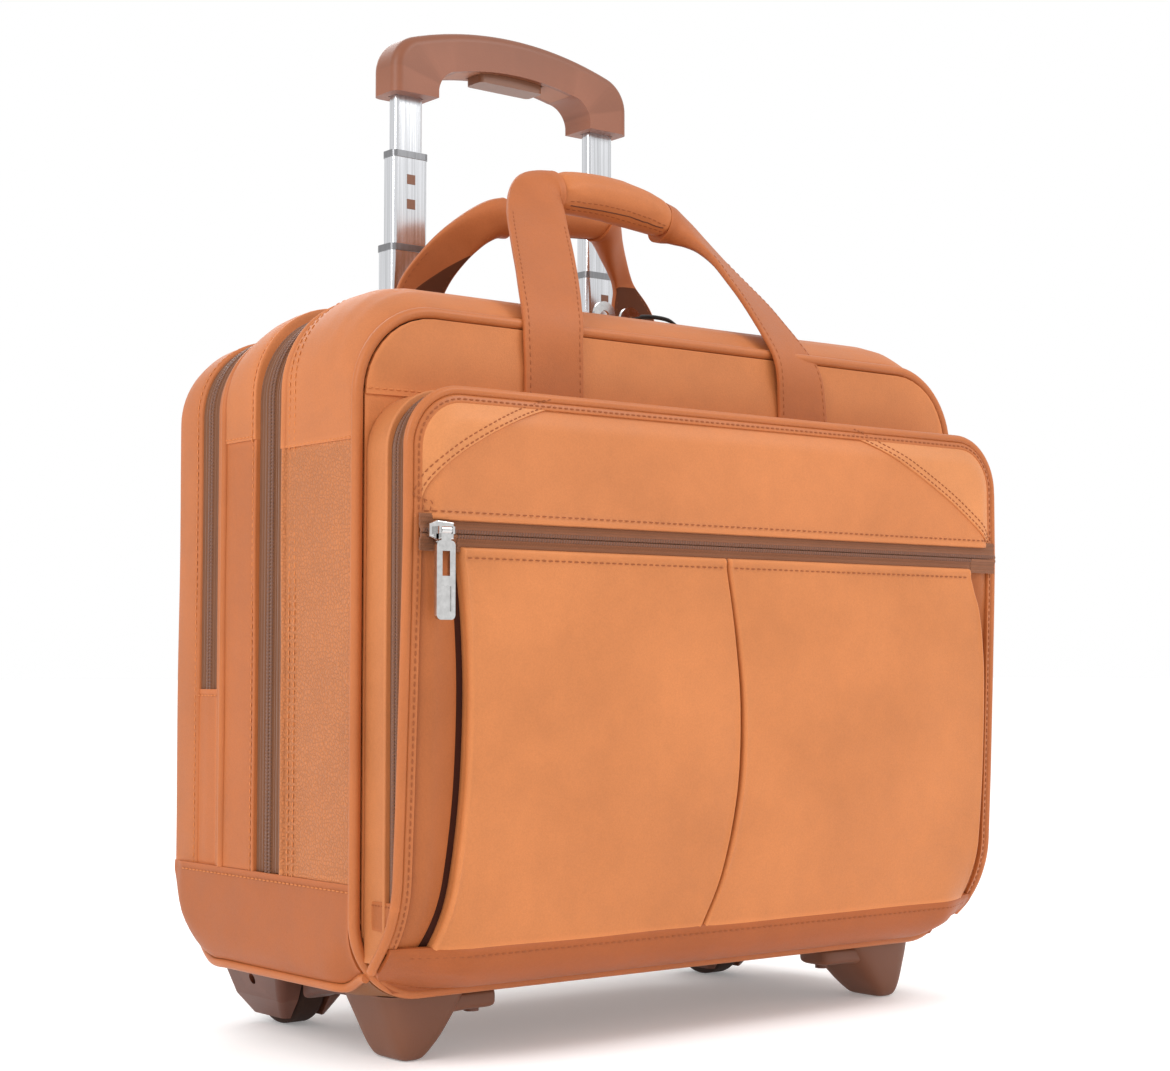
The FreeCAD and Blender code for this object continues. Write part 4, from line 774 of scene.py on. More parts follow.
def u_line(y):
    """Level of the cord along the band's lower edge."""
    lift = 9.0 * float(1 - smooth01((y - 0.0) / 22.0))
    return base_floor(y) + 7.5 + lift * 0.8 - 4.0 * float(smooth01((y - 135) / 40.0))


def at_level(y, side, z):
    t, nrm = base_half(y, side)
    k = np.where(t[:30, 1] <= z)[0]
    i = int(k[0]) if len(k) else 29
    a, b = t[i - 1], t[i]
    f = 0.0 if abs(b[1] - a[1]) < 1e-9 else (z - a[1]) / (b[1] - a[1])
    f = min(1.0, max(0.0, f))
    q = a + (b - a) * f
    m = nrm[i - 1] + (nrm[i] - nrm[i - 1]) * f
    return q, m / np.linalg.norm(m), i


YS = np.concatenate([np.linspace(3.2, 22, 8), np.linspace(26, 138, 26), np.linspace(141, 186.6, 18)])
for side, tag in ((-1, "left"), (1, "right")):
    rows, rows_b, cord, cordn = [], [], [], []
    for y in YS:
        zu = u_line(y)
        line, back = [], []
        for z in np.concatenate([np.linspace(BAND + 0.3, zu + 0.6, 20)]):
            q, m, _ = at_level(y, side, min(z, BAND))
            zz = q[1] + max(0.0, z - BAND)
            off = 0.75 + 0.5 * math.sin(math.pi * min(1.0, max(0.0, (z - zu) / max(1.0, BAND - zu)))) + float(wobble(q[0], y, zz, 0.15))
            off -= 0.7 * float(1 - smooth01((z - zu - 0.6) / 3.0))
            off -= 2.2 * float(smooth01((y - 174.0) / 12.6))
            line.append((q[0] + m[0] * off, y, zz + m[1] * off))
            back.append((q[0] - m[0] * 2.2, y, zz - m[1] * 2.2))
        rows.append(line)
        rows_b.append(back)
        q, m, _ = at_level(y, side, zu - 1.2)
        cord.append((q[0] + m[0] * 0.9, y, q[1] + m[1] * 0.9))
    slab("base_band_" + tag, rows, 0, "root", M["base"], back=np.array(rows_b),
         rep=("base_wrap",) if side < 0 else ())
    c = np.array(cord)
    c = np.vstack([[(c[0][0], 0.6, c[0][2])], c])
    tube("base_piping_" + tag, c, 2.4, "root", M["piping"], n=12)
    q = [(side * 216.2, y, BAND - 3.4) for y in np.linspace(5, 172, 47)]
    stitches("base_stitch_" + tag, q, (side, 0, 0), "root", pitch=4.0)
rows, rows_b = [], []
for y in np.concatenate([[3.0], YS]):
    line, back = [], []
    for side in (-1, 1):
        t, nrm = base_half(y, side)
        _, _, i = at_level(y, side, u_line(y) - 1.0)
        q0, m0, _ = at_level(y, side, u_line(y) - 1.0)
        part = [(q0, m0)]
        # constant number of columns: resample what is left of the path
        rest = np.vstack([[q0], t[i:]])
        rn = np.vstack([[m0], nrm[i:]])
        seg = np.concatenate([[0], np.cumsum(np.linalg.norm(np.diff(rest, axis=0), axis=1))])
        tt = seg[-1] * np.concatenate([np.linspace(0, 0.2, 14), np.linspace(0.2, 1, 14)[1:]])
        xs = np.interp(tt, seg, rest[:, 0])
        zs = np.interp(tt, seg, rest[:, 1])
        nx = np.interp(tt, seg, rn[:, 0])
        nz = np.interp(tt, seg, rn[:, 1])
        a = [(xs[k] - nx[k] * 0.2, y, zs[k] - nz[k] * 0.2) for k in range(len(tt))]
        b = [(xs[k] - nx[k] * 3.0, y, zs[k] - nz[k] * 3.0) for k in range(len(tt))]
        if side < 0:
            line += a
            back += b
        else:
            line += list(reversed(a))[1:]
            back += list(reversed(b))[1:]
    rows.append(line)
    rows_b.append(back)
slab("base_underside", rows, 0, "root", M["olive"], back=np.array(rows_b), rep=())


# ---- rounded-outline panels -------------------------------------------------
def xmax(z, hw, z0, z1, rt_, rb_):
    if z > z1 - rt_:
        return hw - rt_ + math.sqrt(max(0.0, rt_ ** 2 - (z - (z1 - rt_)) ** 2))
    if z < z0 + rb_:
        return hw - rb_ + math.sqrt(max(0.0, rb_ ** 2 - ((z0 + rb_) - z) ** 2))
    return hw


def levels(z0, z1, rt_, rb_, step):
    out = []
    if rb_:
        out += [z0 + rb_ - rb_ * math.cos(a) for a in np.linspace(0.0, math.pi / 2, 9)]
    else:
        out += [z0]
    hi = z1 - rt_
    out += list(np.linspace(out[-1], hi, max(3, int((hi - out[-1]) / step)))[1:])
    if rt_:
        out += [hi + rt_ * math.sin(a) for a in np.linspace(0.0, math.pi / 2, 10)][1:]
    return out


def rounded_panel(name, hw, z0, z1, rt_, rb_, yfn, thick, body, mat, rep=(), step=5.0, cols=80):
    g = []
    u = np.sin(np.linspace(-math.pi / 2, math.pi / 2, cols))
    u = 0.5 * u + 0.5 * np.linspace(-1, 1, cols)
    for z in levels(z0, z1, rt_, rb_, step):
        w = xmax(z, hw, z0, z1, rt_, rb_)
        g.append([(w * k, yfn(w * k, z), z) for k in u])
    return slab(name, np.array(g), thick, body, mat, rep)


def y_front(x, z):
    e = min(211.0 - abs(x), 375.0 - z if z > 300 else 60.0, 30.0)
    return -1.6 - 1.2 * float(smooth01(e / 26.0)) + float(wobble(x, 0, z, 0.12))


rounded_panel("front_panel_lower", 211.4, 39.4, 334.6, 0.0, 34.0, y_front, 2.4, "front_shell", M["panel"], ("front_panel",))
rounded_panel("front_panel_upper", 211.4, 333.6, 374.6, 41.0, 0.0, lambda x, z: y_front(x, z) - 0.9, 2.2, "front_shell", M["panel"],
              step=3.0)
q = [(x, y_front(x, 336.2) - 0.95, 336.6) for x in np.linspace(-209, 209, 120)]
stitches("front_panel_stitch", q, (0, -1, 0), "front_shell")

# back panel
rounded_panel("back_panel_skin", 211.6, 64.0, 377.0, 43.0, 28.0, lambda x, z: 184.2, 3.4, "root", M["back"], ("back_panel",), step=6.0)

tube("back_panel_piping", [(x, 186.6, 71.6) for x in np.linspace(-201, 201, 60)], 2.0, "root", M["piping"], n=12)
stitches("back_panel_stitch", [(x, 187.6, 79.0) for x in np.linspace(-203, 203, 100)], (0, 1, 0), "root")

# ============================================================================ front pocket
ZF = [(40, -35.4), (58.1, -36.6), (95, -38.6), (135, -40.8), (185, -43.0), (235, -45.0), (262, -45.9), (326, -46.0), (340, -46.0)]


def lean(z):
    return float(np.interp(z, [a for a, _ in ZF], [b for _, b in ZF]))


PH = 211.0                      # half width to the cord's centre
PT, PR = 333.5, 30.0


def bottom_in(z):
    """How far the pocket's side edge has drawn in by a level near its foot."""
    return 3.0 * float(1 - smooth01((z - 40.0) / 16.0))


EXZ = [(36, 26.5), (44, 26.0), (48, 23.6), (51, 20.4), (56, 15.6), (60, 12.4), (68, 7.2), (74, 4.3), (80, 2.2), (86, 0.8), (92, 0.0)]


def draw_back(z):
    """How far the pocket's side edges run back towards the case near the foot."""
    return float(np.mean(np.interp(z + np.linspace(-4.5, 4.5, 13), [a for a, _ in EXZ], [b for _, b in EXZ])))


def cord_y(z):
    return lean(z) + 6.4 + draw_back(z)


CORD_Z = np.linspace(40.0, 262.0, 170)
CORD_D = np.array([-cord_y(z) for z in CORD_Z])         # grows steadily with the level


def zlow(y):
    """Level at which the side cord crosses a depth: the pocket's sides end there."""
    return float(np.interp(-y, CORD_D, CORD_Z)) + 0.4


def pocket_edge(z, inset=0.0):
    w = PH - inset
    if z > PT - PR:
        rr = PR - inset
        w = PH - PR + math.sqrt(max(0.0, rr ** 2 - (z - (PT - PR)) ** 2))
    return w - bottom_in(z)


def y_pocket(x, z, inset=2.6):
    """Front face of the pocket: leans with height and sinks to the cord at its edges."""
    e = PH - inset - abs(x) - bottom_in(z)
    if z > PT - PR and abs(x) > PH - PR:
        e = PR - inset - math.hypot(abs(x) - (PH - PR), z - (PT - PR))
    et = PT - inset - z
    d = max(0.0, min(e, et))
    sink = 5.4 * float(1 - smooth01(d / 15.0)) ** 1.25
    if z < 92:
        sink += draw_back(z) * float(1 - smooth01(max(0.0, e) / 40.0))
    return lean(z) + sink


# cord round the pocket's front edge, sides running down and in to the foot
cp = []
for z in np.linspace(50.0, PT - PR, 90):
    cp.append((-(PH - bottom_in(z)), min(-3.2, cord_y(z)), z))
for a in np.linspace(180, 90, 20)[1:]:
    cp.append((-(PH - PR) + PR * math.cos(math.radians(a)), -39.4, PT - PR + PR * math.sin(math.radians(a))))
for x in np.linspace(-(PH - PR), PH - PR, 70)[1:]:
    cp.append((x, -39.4, PT))
for a in np.linspace(90, 0, 20)[1:]:
    cp.append(((PH - PR) + PR * math.cos(math.radians(a)), -39.4, PT - PR + PR * math.sin(math.radians(a))))
for z in np.linspace(PT - PR, 50.0, 90)[1:]:
    cp.append(((PH - bottom_in(z)), min(-3.2, cord_y(z)), z))
cp = np.array(cp)
_half = len(cp) // 2
_k = int(np.argmin(abs(cp[:_half, 2] - 82.0)))
tube("pocket_piping_cord", cp[_k:len(cp) - _k], 2.5, "organizer_flap", M["piping"], ("pocket_piping",), n=14)
tube("pocket_piping_foot_left", cp[:_k + 2], 2.45, "front_shell", M["piping"], n=14)
tube("pocket_piping_foot_right", cp[len(cp) - _k - 2:], 2.45, "front_shell", M["piping"], n=14)

# flat seam strip inside the cord, with its dark stitches
ctr = np.array([0.0, 0.0, 200.0])


def inset_path(d):
    out = []
    for z in np.linspace(60.0, PT - PR, 70):
        out.append((-(PH - bottom_in(z) - d), z))
    for a in np.linspace(180, 90, 16)[1:]:
        out.append((-(PH - PR) + (PR - d) * math.cos(math.radians(a)), PT - PR + (PR - d) * math.sin(math.radians(a))))
    for x in np.linspace(-(PH - PR), PH - PR, 70)[1:]:
        out.append((x, PT - d))
    for a in np.linspace(90, 0, 16)[1:]:
        out.append(((PH - PR) + (PR - d) * math.cos(math.radians(a)), PT - PR + (PR - d) * math.sin(math.radians(a))))
    for z in np.linspace(PT - PR, 60.0, 70)[1:]:
        out.append(((PH - bottom_in(z) - d), z))
    return out


rows = []
for d, up in ((2.0, 0.2), (2.3, 0.9), (3.0, 1.25), (4.2, 1.3), (5.4, 1.25), (6.0, 0.9), (6.3, 0.2)):
    rows.append([(x, y_pocket(x, z, 2.0) - up, z) for x, z in inset_path(d)])
slab("pocket_seam_strip", np.array(rows), 2.0, "organizer_flap", M["piping"])
ip = inset_path(4.3)
stitches("pocket_seam_stitch", [(x, y_pocket(x, z, 2.0) - 1.4, z) for x, z in ip], (0, -1, 0), "organizer_flap", pitch=3.7, L=2.6,
         mat=M["thread_dark"])


# upper panel above the front zip, with its folded hem
def up_panel():
    g = []
    zs = [268.9, 268.9, 269.3, 270.2, 271.4, 272.8, 274.5] + list(np.linspace(277, PT - PR, 10))[0:] + \
         [PT - PR + (PR - 2.4) * math.sin(a) for a in np.linspace(0.0, math.pi / 2, 14)][1:]
    dy = [2.4, 0.5, -0.6, -1.1, -1.0, -0.5, -0.1] + [0.0] * 40
    u = np.linspace(-1, 1, 150)
    for k, z in enumerate(zs):
        w = pocket_edge(z, 2.4)
        g.append([(w * s, y_pocket(w * s, z) + dy[k] + float(wobble(w * s, 0, z, 0.10)), z) for s in u])
    return np.array(g)


slab("pocket_top_panel", up_panel(), 2.6, "organizer_flap", M["top"], ("flap_panel",))
stitches("pocket_top_hem_stitch", [(x, y_pocket(x, 273) - 0.9, 273.2) for x in np.linspace(-203, 203, 160)], (0, -1, 0),
         "organizer_flap", mat=M["thread_dark"], w=0.34, h=0.26)

# corner patches laid over the upper panel, each with two rows of stitches along its curved edge
ARC_L = np.array([(-206.6, 272.0), (-203.5, 283.5), (-196.5, 293.1), (-185, 301.8), (-172.7, 309.2), (-158, 316.8), (-142, 323.4),
                  (-126, 328.4), (-113, 330.9)])
ARC_R = np.array([(76.0, 330.9), (92, 328.6), (108, 323.4), (126, 316.1), (147, 306.2), (168.4, 294.9), (187, 283.2),
                  (199, 274.6), (206.6, 268.9)])


def dense(pts, n):
    """Catmull-Rom through the points."""
    P = np.vstack([2 * pts[0] - pts[1], pts, 2 * pts[-1] - pts[-2]])
    out = []
    segs = len(pts) - 1
    for k in range(n):
        t = k / (n - 1) * segs
        i = min(int(t), segs - 1)
        f = t - i
        a, b, c, d = P[i], P[i + 1], P[i + 2], P[i + 3]
        out.append(0.5 * ((2 * b) + (-a + c) * f + (2 * a - 5 * b + 4 * c - d) * f * f + (-a + 3 * b - 3 * c + d) * f ** 3))
    return np.array(out)


def edge_run(start, end, side, n, inset=5.9):
    """The pocket's outline from a point low on one side, up round the corner, to a point along the top."""
    out = []
    r = PR - inset
    zt = PT - PR
    for z in np.linspace(start, zt, n // 3, endpoint=False):
        out.append((side * (PH - inset), z))
    for a in np.linspace(0, 90, n // 3, endpoint=False):
        out.append((side * (PH - PR + r * math.cos(math.radians(a))), zt + r * math.sin(math.radians(a))))
    m = n - len(out)
    for x in np.linspace(PH - PR, abs(end), m):
        out.append((side * x, PT - inset) if end * side > 0 else (side * x, PT - inset))
    return np.array(out)


def patch(name, arc_pts, side, start, end):
    n = 90
    seam = dense(arc_pts, n)
    if side > 0:
        seam = seam[::-1]
    out = edge_run(start, end, side, n)
    lift = [0.15, 0.75, 1.0, 1.05] + [1.05] * 10 + [0.8]
    ts = [0.0, 0.006, 0.02, 0.05] + list(np.linspace(0.12, 0.94, 10)) + [1.0]
    g = []
    for t, up in zip(ts, lift):
        row = seam * (1 - t) + out * t
        g.append([(x, y_pocket(x, z) - up, z) for x, z in row])
    slab(name, np.array(g), 1.6, "organizer_flap", M["patch"])
    tan = np.gradient(seam, axis=0)
    nn = np.column_stack([-tan[:, 1], tan[:, 0]])
    nn /= np.linalg.norm(nn, axis=1)[:, None]
    toward = (out - seam)
    flip = np.sign(np.sum(nn * toward, 1))[:, None]
    nn = nn * np.where(flip == 0, 1, flip)
    for k, dd in enumerate((1.4, 4.6)):
        q = seam[3:-11] + nn[3:-11] * dd
        stitches("%s_stitch_%d" % (name, k), [(x, y_pocket(x, z) - 1.1, z) for x, z in q], (0, -1, 0), "organizer_flap",
                 pitch=3.4, L=2.4, mat=M["thread_dark"], w=0.36, h=0.28)


patch("corner_patch_left", ARC_L, -1, 272.0, -113.0)
patch("corner_patch_right", ARC_R, 1, 269.5, 76.0)

# zip under the upper panel
ys0 = -44.9


def flat_tape(name, z0, z1, coil_low, body, mat, rep, x0=-207.5, x1=207.5):
    prof = []
    for z in np.linspace(z0, z1, 16):
        d = (z - z0) if coil_low else (z1 - z)
        o = 0.22 * math.sin(d * 2.6) if d > 2.6 else 0.2 + 1.0 * math.sin(min(1.0, (2.6 - d) / 2.6) * math.pi * 0.8)
        prof.append((ys0 - o, z))
    g = [[(x, y, z) for x in np.linspace(x0, x1, 90)] for y, z in prof]
    return slab(name, np.array(g), 1.2, body, mat, rep)


flat_tape("front_zip_tape_upper", 262.6, 272.0, True, "organizer_flap", M["tape_front"], ("front_zip_upper_tape",))
flat_tape("front_zip_tape_lower", 254.0, 262.3, False, "pocket_front", M["tape_front"], ("front_zip_lower_tape",), -186.0, 186.0)
flat_tape("front_zip_tape_end_l", 254.0, 262.3, False, "organizer_flap", M["tape_front"], (), -207.5, -186.3)
flat_tape("front_zip_tape_end_r", 254.0, 262.3, False, "organizer_flap", M["tape_front"], (), 186.3, 207.5)


def bar_teeth(name, zc, L, y, x0, x1, body, pitch=1.7):
    verts, faces = [], []
    for x in np.arange(x0, x1, pitch):
        o = len(verts)
        for s in (-0.5, -0.3, 0.3, 0.5):
            r = 0.5 if abs(s) > 0.4 else 1.0
            for a in (0.0, 60.0, 120.0, 180.0):
                ar = math.radians(a)
                verts.append((x + math.cos(ar) * pitch * 0.42 * r + s * 0.5, y - math.sin(ar) * 0.42 * r, zc + s * L))
        for k in range(3):
            for j in range(3):
                faces.append((o + k * 4 + j, o + k * 4 + j + 1, o + k * 4 + 5 + j, o + k * 4 + 4 + j))
            faces.append((o + k * 4 + 3, o + k * 4, o + k * 4 + 4, o + k * 4 + 7))
        faces.append((o, o + 1, o + 2, o + 3))
        faces.append((o + 15, o + 14, o + 13, o + 12))
    return obj_from(name, verts, faces, body, M["coil"], (), 50)


bar_teeth("front_zip_coil_upper", 263.7, 1.9, ys0 - 1.1, -206, 206, "organizer_flap")
bar_teeth("front_zip_coil_lower", 261.2, 1.9, ys0 - 1.1, -185.5, 185.5, "pocket_front")

# the pleated lower part
PLEAT_L = np.array([(-184.4, 256.4), (-183.6, 251.0), (-179.3, 220.9), (-176.8, 182.0), (-177.5, 133.6), (-182.2, 90.4), (-189.9, 59.6)])
PLEAT_C = np.array([(-9.4, 256.4), (-7.6, 247.3), (-0.8, 212.6), (4.0, 174.9), (3.3, 131.9), (-5.8, 89.6), (-20.3, 58.7)])
PLEAT_R = np.array([(185.2, 256.4), (190.1, 242.4), (194.8, 230.0), (198.4, 206.0), (199.6, 180.0), (199.6, 134.0), (198.0, 91.0),
                    (194.0, 59.6)])


def pleat_x(P, z):
    i = np.argsort(P[:, 1])
    d = dense(P[i], 200)
    return float(np.interp(z, d[:, 1], d[:, 0]))


ZROWS = np.concatenate([np.linspace(60.2, 250.0, 64), [251.6, 253.0, 254.2, 255.2, 255.9, 256.3, 256.3]])
HEM = [0.0] * 64 + [-0.2, -0.7, -1.0, -0.9, -0.4, 0.8, 2.6]


def lower_panel(name, left, right, body, mat, rep=(), roll_l=True, roll_r=False, swell=2.6, cols=70, lift=0.0):
    """One pleated field between two curved edges; roll_* turn that edge over and back into the pleat."""
    g = []
    us = list(np.linspace(0, 1, cols))
    for k, z in enumerate(ZROWS):
        xl, xr = left(z), right(z)
        row = []
        if roll_l:
            row += [(xl + 0.9, 8.0), (xl + 0.2, 4.6), (xl, 2.6), (xl + 0.25, 1.2), (xl + 0.9, 0.3), (xl + 1.9, -0.15)]
        core0, core1 = (xl + 3.2 if roll_l else xl), (xr - 3.2 if roll_r else xr)
        for u in us:
            row.append((core0 + (core1 - core0) * u, None))
        if roll_r:
            row += [(xr - 1.9, -0.15), (xr - 0.9, 0.3), (xr - 0.25, 1.2), (xr, 2.6), (xr - 0.2, 4.6), (xr - 0.9, 8.0)]
        line = []
        vz = (z - 60.0) / 196.4
        pill = 4 * vz * (1 - vz) * 0.5 + 0.5 * math.sin(math.pi * min(1, max(0, vz))) ** 0.5
        for x, d in row:
            u = (x - xl) / (xr - xl)
            ee = min(x - xl if roll_l else 99, xr - x if roll_r else 99)
            bulge = swell * pill * math.sin(math.pi * min(1, max(0, 0.12 + 0.76 * u)))
            crease = 0.35 * math.exp(-((ee - 4.2) / 1.2) ** 2)
            y = lean(z) - lift - bulge + (d if d is not None else crease)
            if z < 92:
                y += draw_back(z) * float(1 - smooth01((208.4 - abs(x)) / 40.0))
            if d is None:
                y += float(wobble(x, 0, z, 0.22, 0.02))
            if not roll_r and right is not None:
                pass
            line.append((x, y + HEM[k], z))
        g.append(line)
    return slab(name, np.array(g), 2.4, body, mat, rep)


lower_panel("pocket_field_left", lambda z: pleat_x(PLEAT_L, z), lambda z: pleat_x(PLEAT_C, z) - 0.45 - 0.7 * math.sin(math.pi * (z - 60) / 197) ** 2,
            "pocket_front", M["pocket"], ("pocket_panel",), True, True, 3.0)
lower_panel("pocket_field_right", lambda z: pleat_x(PLEAT_C, z) + 0.45 + 0.5 * math.sin(math.pi * (z - 60) / 197) ** 2, lambda z: pleat_x(PLEAT_R, z),
            "pocket_front", M["pocket"], (), True, True, 3.0)


def margin(name, side, P, gap):
    g = []
    for k, z in enumerate(ZROWS):
        xo = PH - 2.6 - bottom_in(z)
        xi = abs(pleat_x(P, z)) + gap
        row = []
        for u in np.linspace(0, 1, 22):
            x = xo + (xi + 2.0 - xo) * u
            drop = 1.6 + 3.0 * float(smooth01((u - 0.2) / 0.8))
            row.append((side * x, y_pocket(x, z, 2.2) + drop * (0.35 + 0.65 * u), z))
        y_in = row[-1][1]
        row += [(side * (xi + 0.8), y_in + 0.4, z), (side * (xi + 0.1), y_in + 1.6, z), (side * xi, y_in + 4.5, z)]
        g.append(row)
    slab(name, np.array(g), 2.2, "organizer_flap", M["margin"])


margin("pocket_margin_left", -1, PLEAT_L, 3.6)
margin("pocket_margin_right", 1, PLEAT_R, 1.4)
# painted shade: a near-black strip at the floor of each pleat stands in for the shadow in its depth
for name, P, w0, w1 in (("pleat_floor_left", PLEAT_L, -9.0, 3.0), ("pleat_floor_mid", PLEAT_C, -5.0, 5.0), ("pleat_floor_right", PLEAT_R, -3.0, 6.0)):
    g = [[(pleat_x(P, z) + w, y_pocket(pleat_x(P, z) + w, z) + 6.4, z) for w in np.linspace(w0, w1, 6)] for z in np.linspace(59, 255, 40)]
    slab(name, np.array(g), 1.0, "organizer_flap", M["pleat_shade"])
stitches("pocket_hem_stitch_l", [(x, lean(252) - 0.2 - 1.0 * math.sin(math.pi * (x + 184) / 176) ** 0.5 * 0.4, 251.0) for x in np.linspace(-179, -14, 60)],
         (0, -1, 0), "pocket_front", mat=M["thread_dark"], w=0.34, h=0.26, lift=0.4)
stitches("pocket_hem_stitch_r", [(x, lean(252) - 0.2 - 1.0 * math.sin(math.pi * (x + 5) / 190) ** 0.5 * 0.4, 251.0) for x in np.linspace(-3, 180, 66)],
         (0, -1, 0), "pocket_front", mat=M["thread_dark"], w=0.34, h=0.26, lift=0.4)

# ---- pocket's sides
PG = lambda y: arch(210.6, max(54.0, zlow(y)), 334.4, 31.0, ns=60, nt=80)
sweep("pocket_side_skin", strip(-22.2, -1.8, 0.0, 2.4, 0.8, 2.6, roll0=1.3), PG, "front_shell", M["gusset"], ("pocket_gusset",), ripple=0.15)
PZ = lambda y: arch(209.2, max(72.0, zlow(y) + 0.5), 333.0, 31.0, ns=60, nt=80)
sweep("pocket_zip_tape_rear", tape_prof(-28.0 + 0.2, -20.6, False, 1.0), PZ, "front_shell", M["tape"], ("pocket_zip_rear_tape",))
sweep("pocket_zip_tape_front", tape_prof(-38.8, -28.0 - 0.2, True, 1.0), PZ, "organizer_flap", M["tape"], ("pocket_zip_front_tape",))
coil_teeth("pocket_zip_coil_rear", PZ, -27.7, -25.7, 1.05, "front_shell", 1.7)
coil_teeth("pocket_zip_coil_front", PZ, -30.3, -28.3, 1.05, "organizer_flap", 1.7)
for s in (-1, 1):                       # short stitched tab over the zip's lower end
    g = []
    for z in np.linspace(70.5, 84.5, 12):
        g.append([(s * (211.0 + 0.5 * math.sin(math.pi * k) - 0.4 * abs(2 * (z - 77.5) / 14) ** 4), -9.5 - (17.5 - max(0.0, 77 - z) * 0.9) * k, z)
                  for k in np.linspace(0, 1, 12)])
    g = np.array(g)
    bk = g.copy()
    bk[:, :, 0] -= s * 1.8
    tag = "left" if s < 0 else "right"
    slab("pocket_zip_stop_" + tag, g, 0, "front_shell", M["margin"], back=bk)
    stitches("pocket_zip_stop_stitch_" + tag, [(s * 211.3, y, 82.6) for y in np.linspace(-11, -25, 6)], (s, 0, 0), "front_shell",
             pitch=2.8, L=2.0, mat=M["thread_dark"], w=0.3, h=0.24)

# ---- bottom band of the pocket
BS = [(-35.6, 62.0), (-36.9, 60.6), (-37.6, 58.6), (-37.5, 55.6), (-36.6, 52.0), (-34.6, 48.4), (-31.6, 45.2), (-27.4, 42.4),
      (-22.0, 40.2), (-15.0, 38.8), (-8.0, 37.9), (-3.4, 37.4)]
BSd = dense(np.array(BS), 30)
g = []
for y, z in BSd:
    w = pocket_edge(z, 2.2)
    if z < 48:
        w -= (48 - z) * 1.1
    g.append([(w * s, min(-2.8, y + 2.0 * float(smooth01((abs(s) - 0.95) / 0.05)) + draw_back(z) * float(1 - smooth01(w * (1 - abs(s)) / 40.0))), z)
              for s in np.sin(np.linspace(-math.pi / 2, math.pi / 2, 130))])
g = np.array(g)
bk = g.copy()
bk[:, :, 1] += 2.4
bk[:, :, 2] += 0.6
slab("pocket_bottom_band_skin", g, 0, "front_shell", M["band"], back=bk, rep=("pocket_bottom_band",))
stitches("bottom_band_stitch", [(x, -37.75 + draw_back(57.2) * float(1 - smooth01((208.0 - abs(x)) / 40.0)), 57.2) for x in np.linspace(-198, 198, 180)], (0, -1, 0), "front_shell", mat=M["thread_dark"], w=0.34, h=0.26)


# ============================================================================ carry handles
def handle_frame(y0, z0, lean_deg, bend0=-7.0, bend1=13.0):
    """Maps (x, out, s) in a strap's own plane to layout millimetres: upright below the bend, leaning above it."""
    S = np.linspace(-60, 170, 461)
    ang = np.radians(lean_deg) * smooth01((S - bend0) / (bend1 - bend0))
    ds = S[1] - S[0]
    yy = np.concatenate([[0], np.cumsum(np.sin(ang[:-1] + np.diff(ang) / 2) * ds)])
    zz = np.concatenate([[0], np.cumsum(np.cos(ang[:-1] + np.diff(ang) / 2) * ds)])
    k = int(np.argmin(abs(S)))
    yy -= yy[k]
    zz -= zz[k]

    def f(x, out, s):
        a = np.interp(s, S, ang)
        return np.array([x, y0 + np.interp(s, S, yy) - out * math.cos(a), z0 + np.interp(s, S, zz) + out * math.sin(a)])
    return f


def superellipse(w, t, p, n=36):
    out = []
    for a in np.linspace(0, 2 * math.pi, n, endpoint=False):
        c, s = math.cos(a), math.sin(a)
        out.append((math.copysign(abs(c) ** (2 / p), c) * w / 2, math.copysign(abs(s) ** (2 / p), s) * t / 2))
    return out


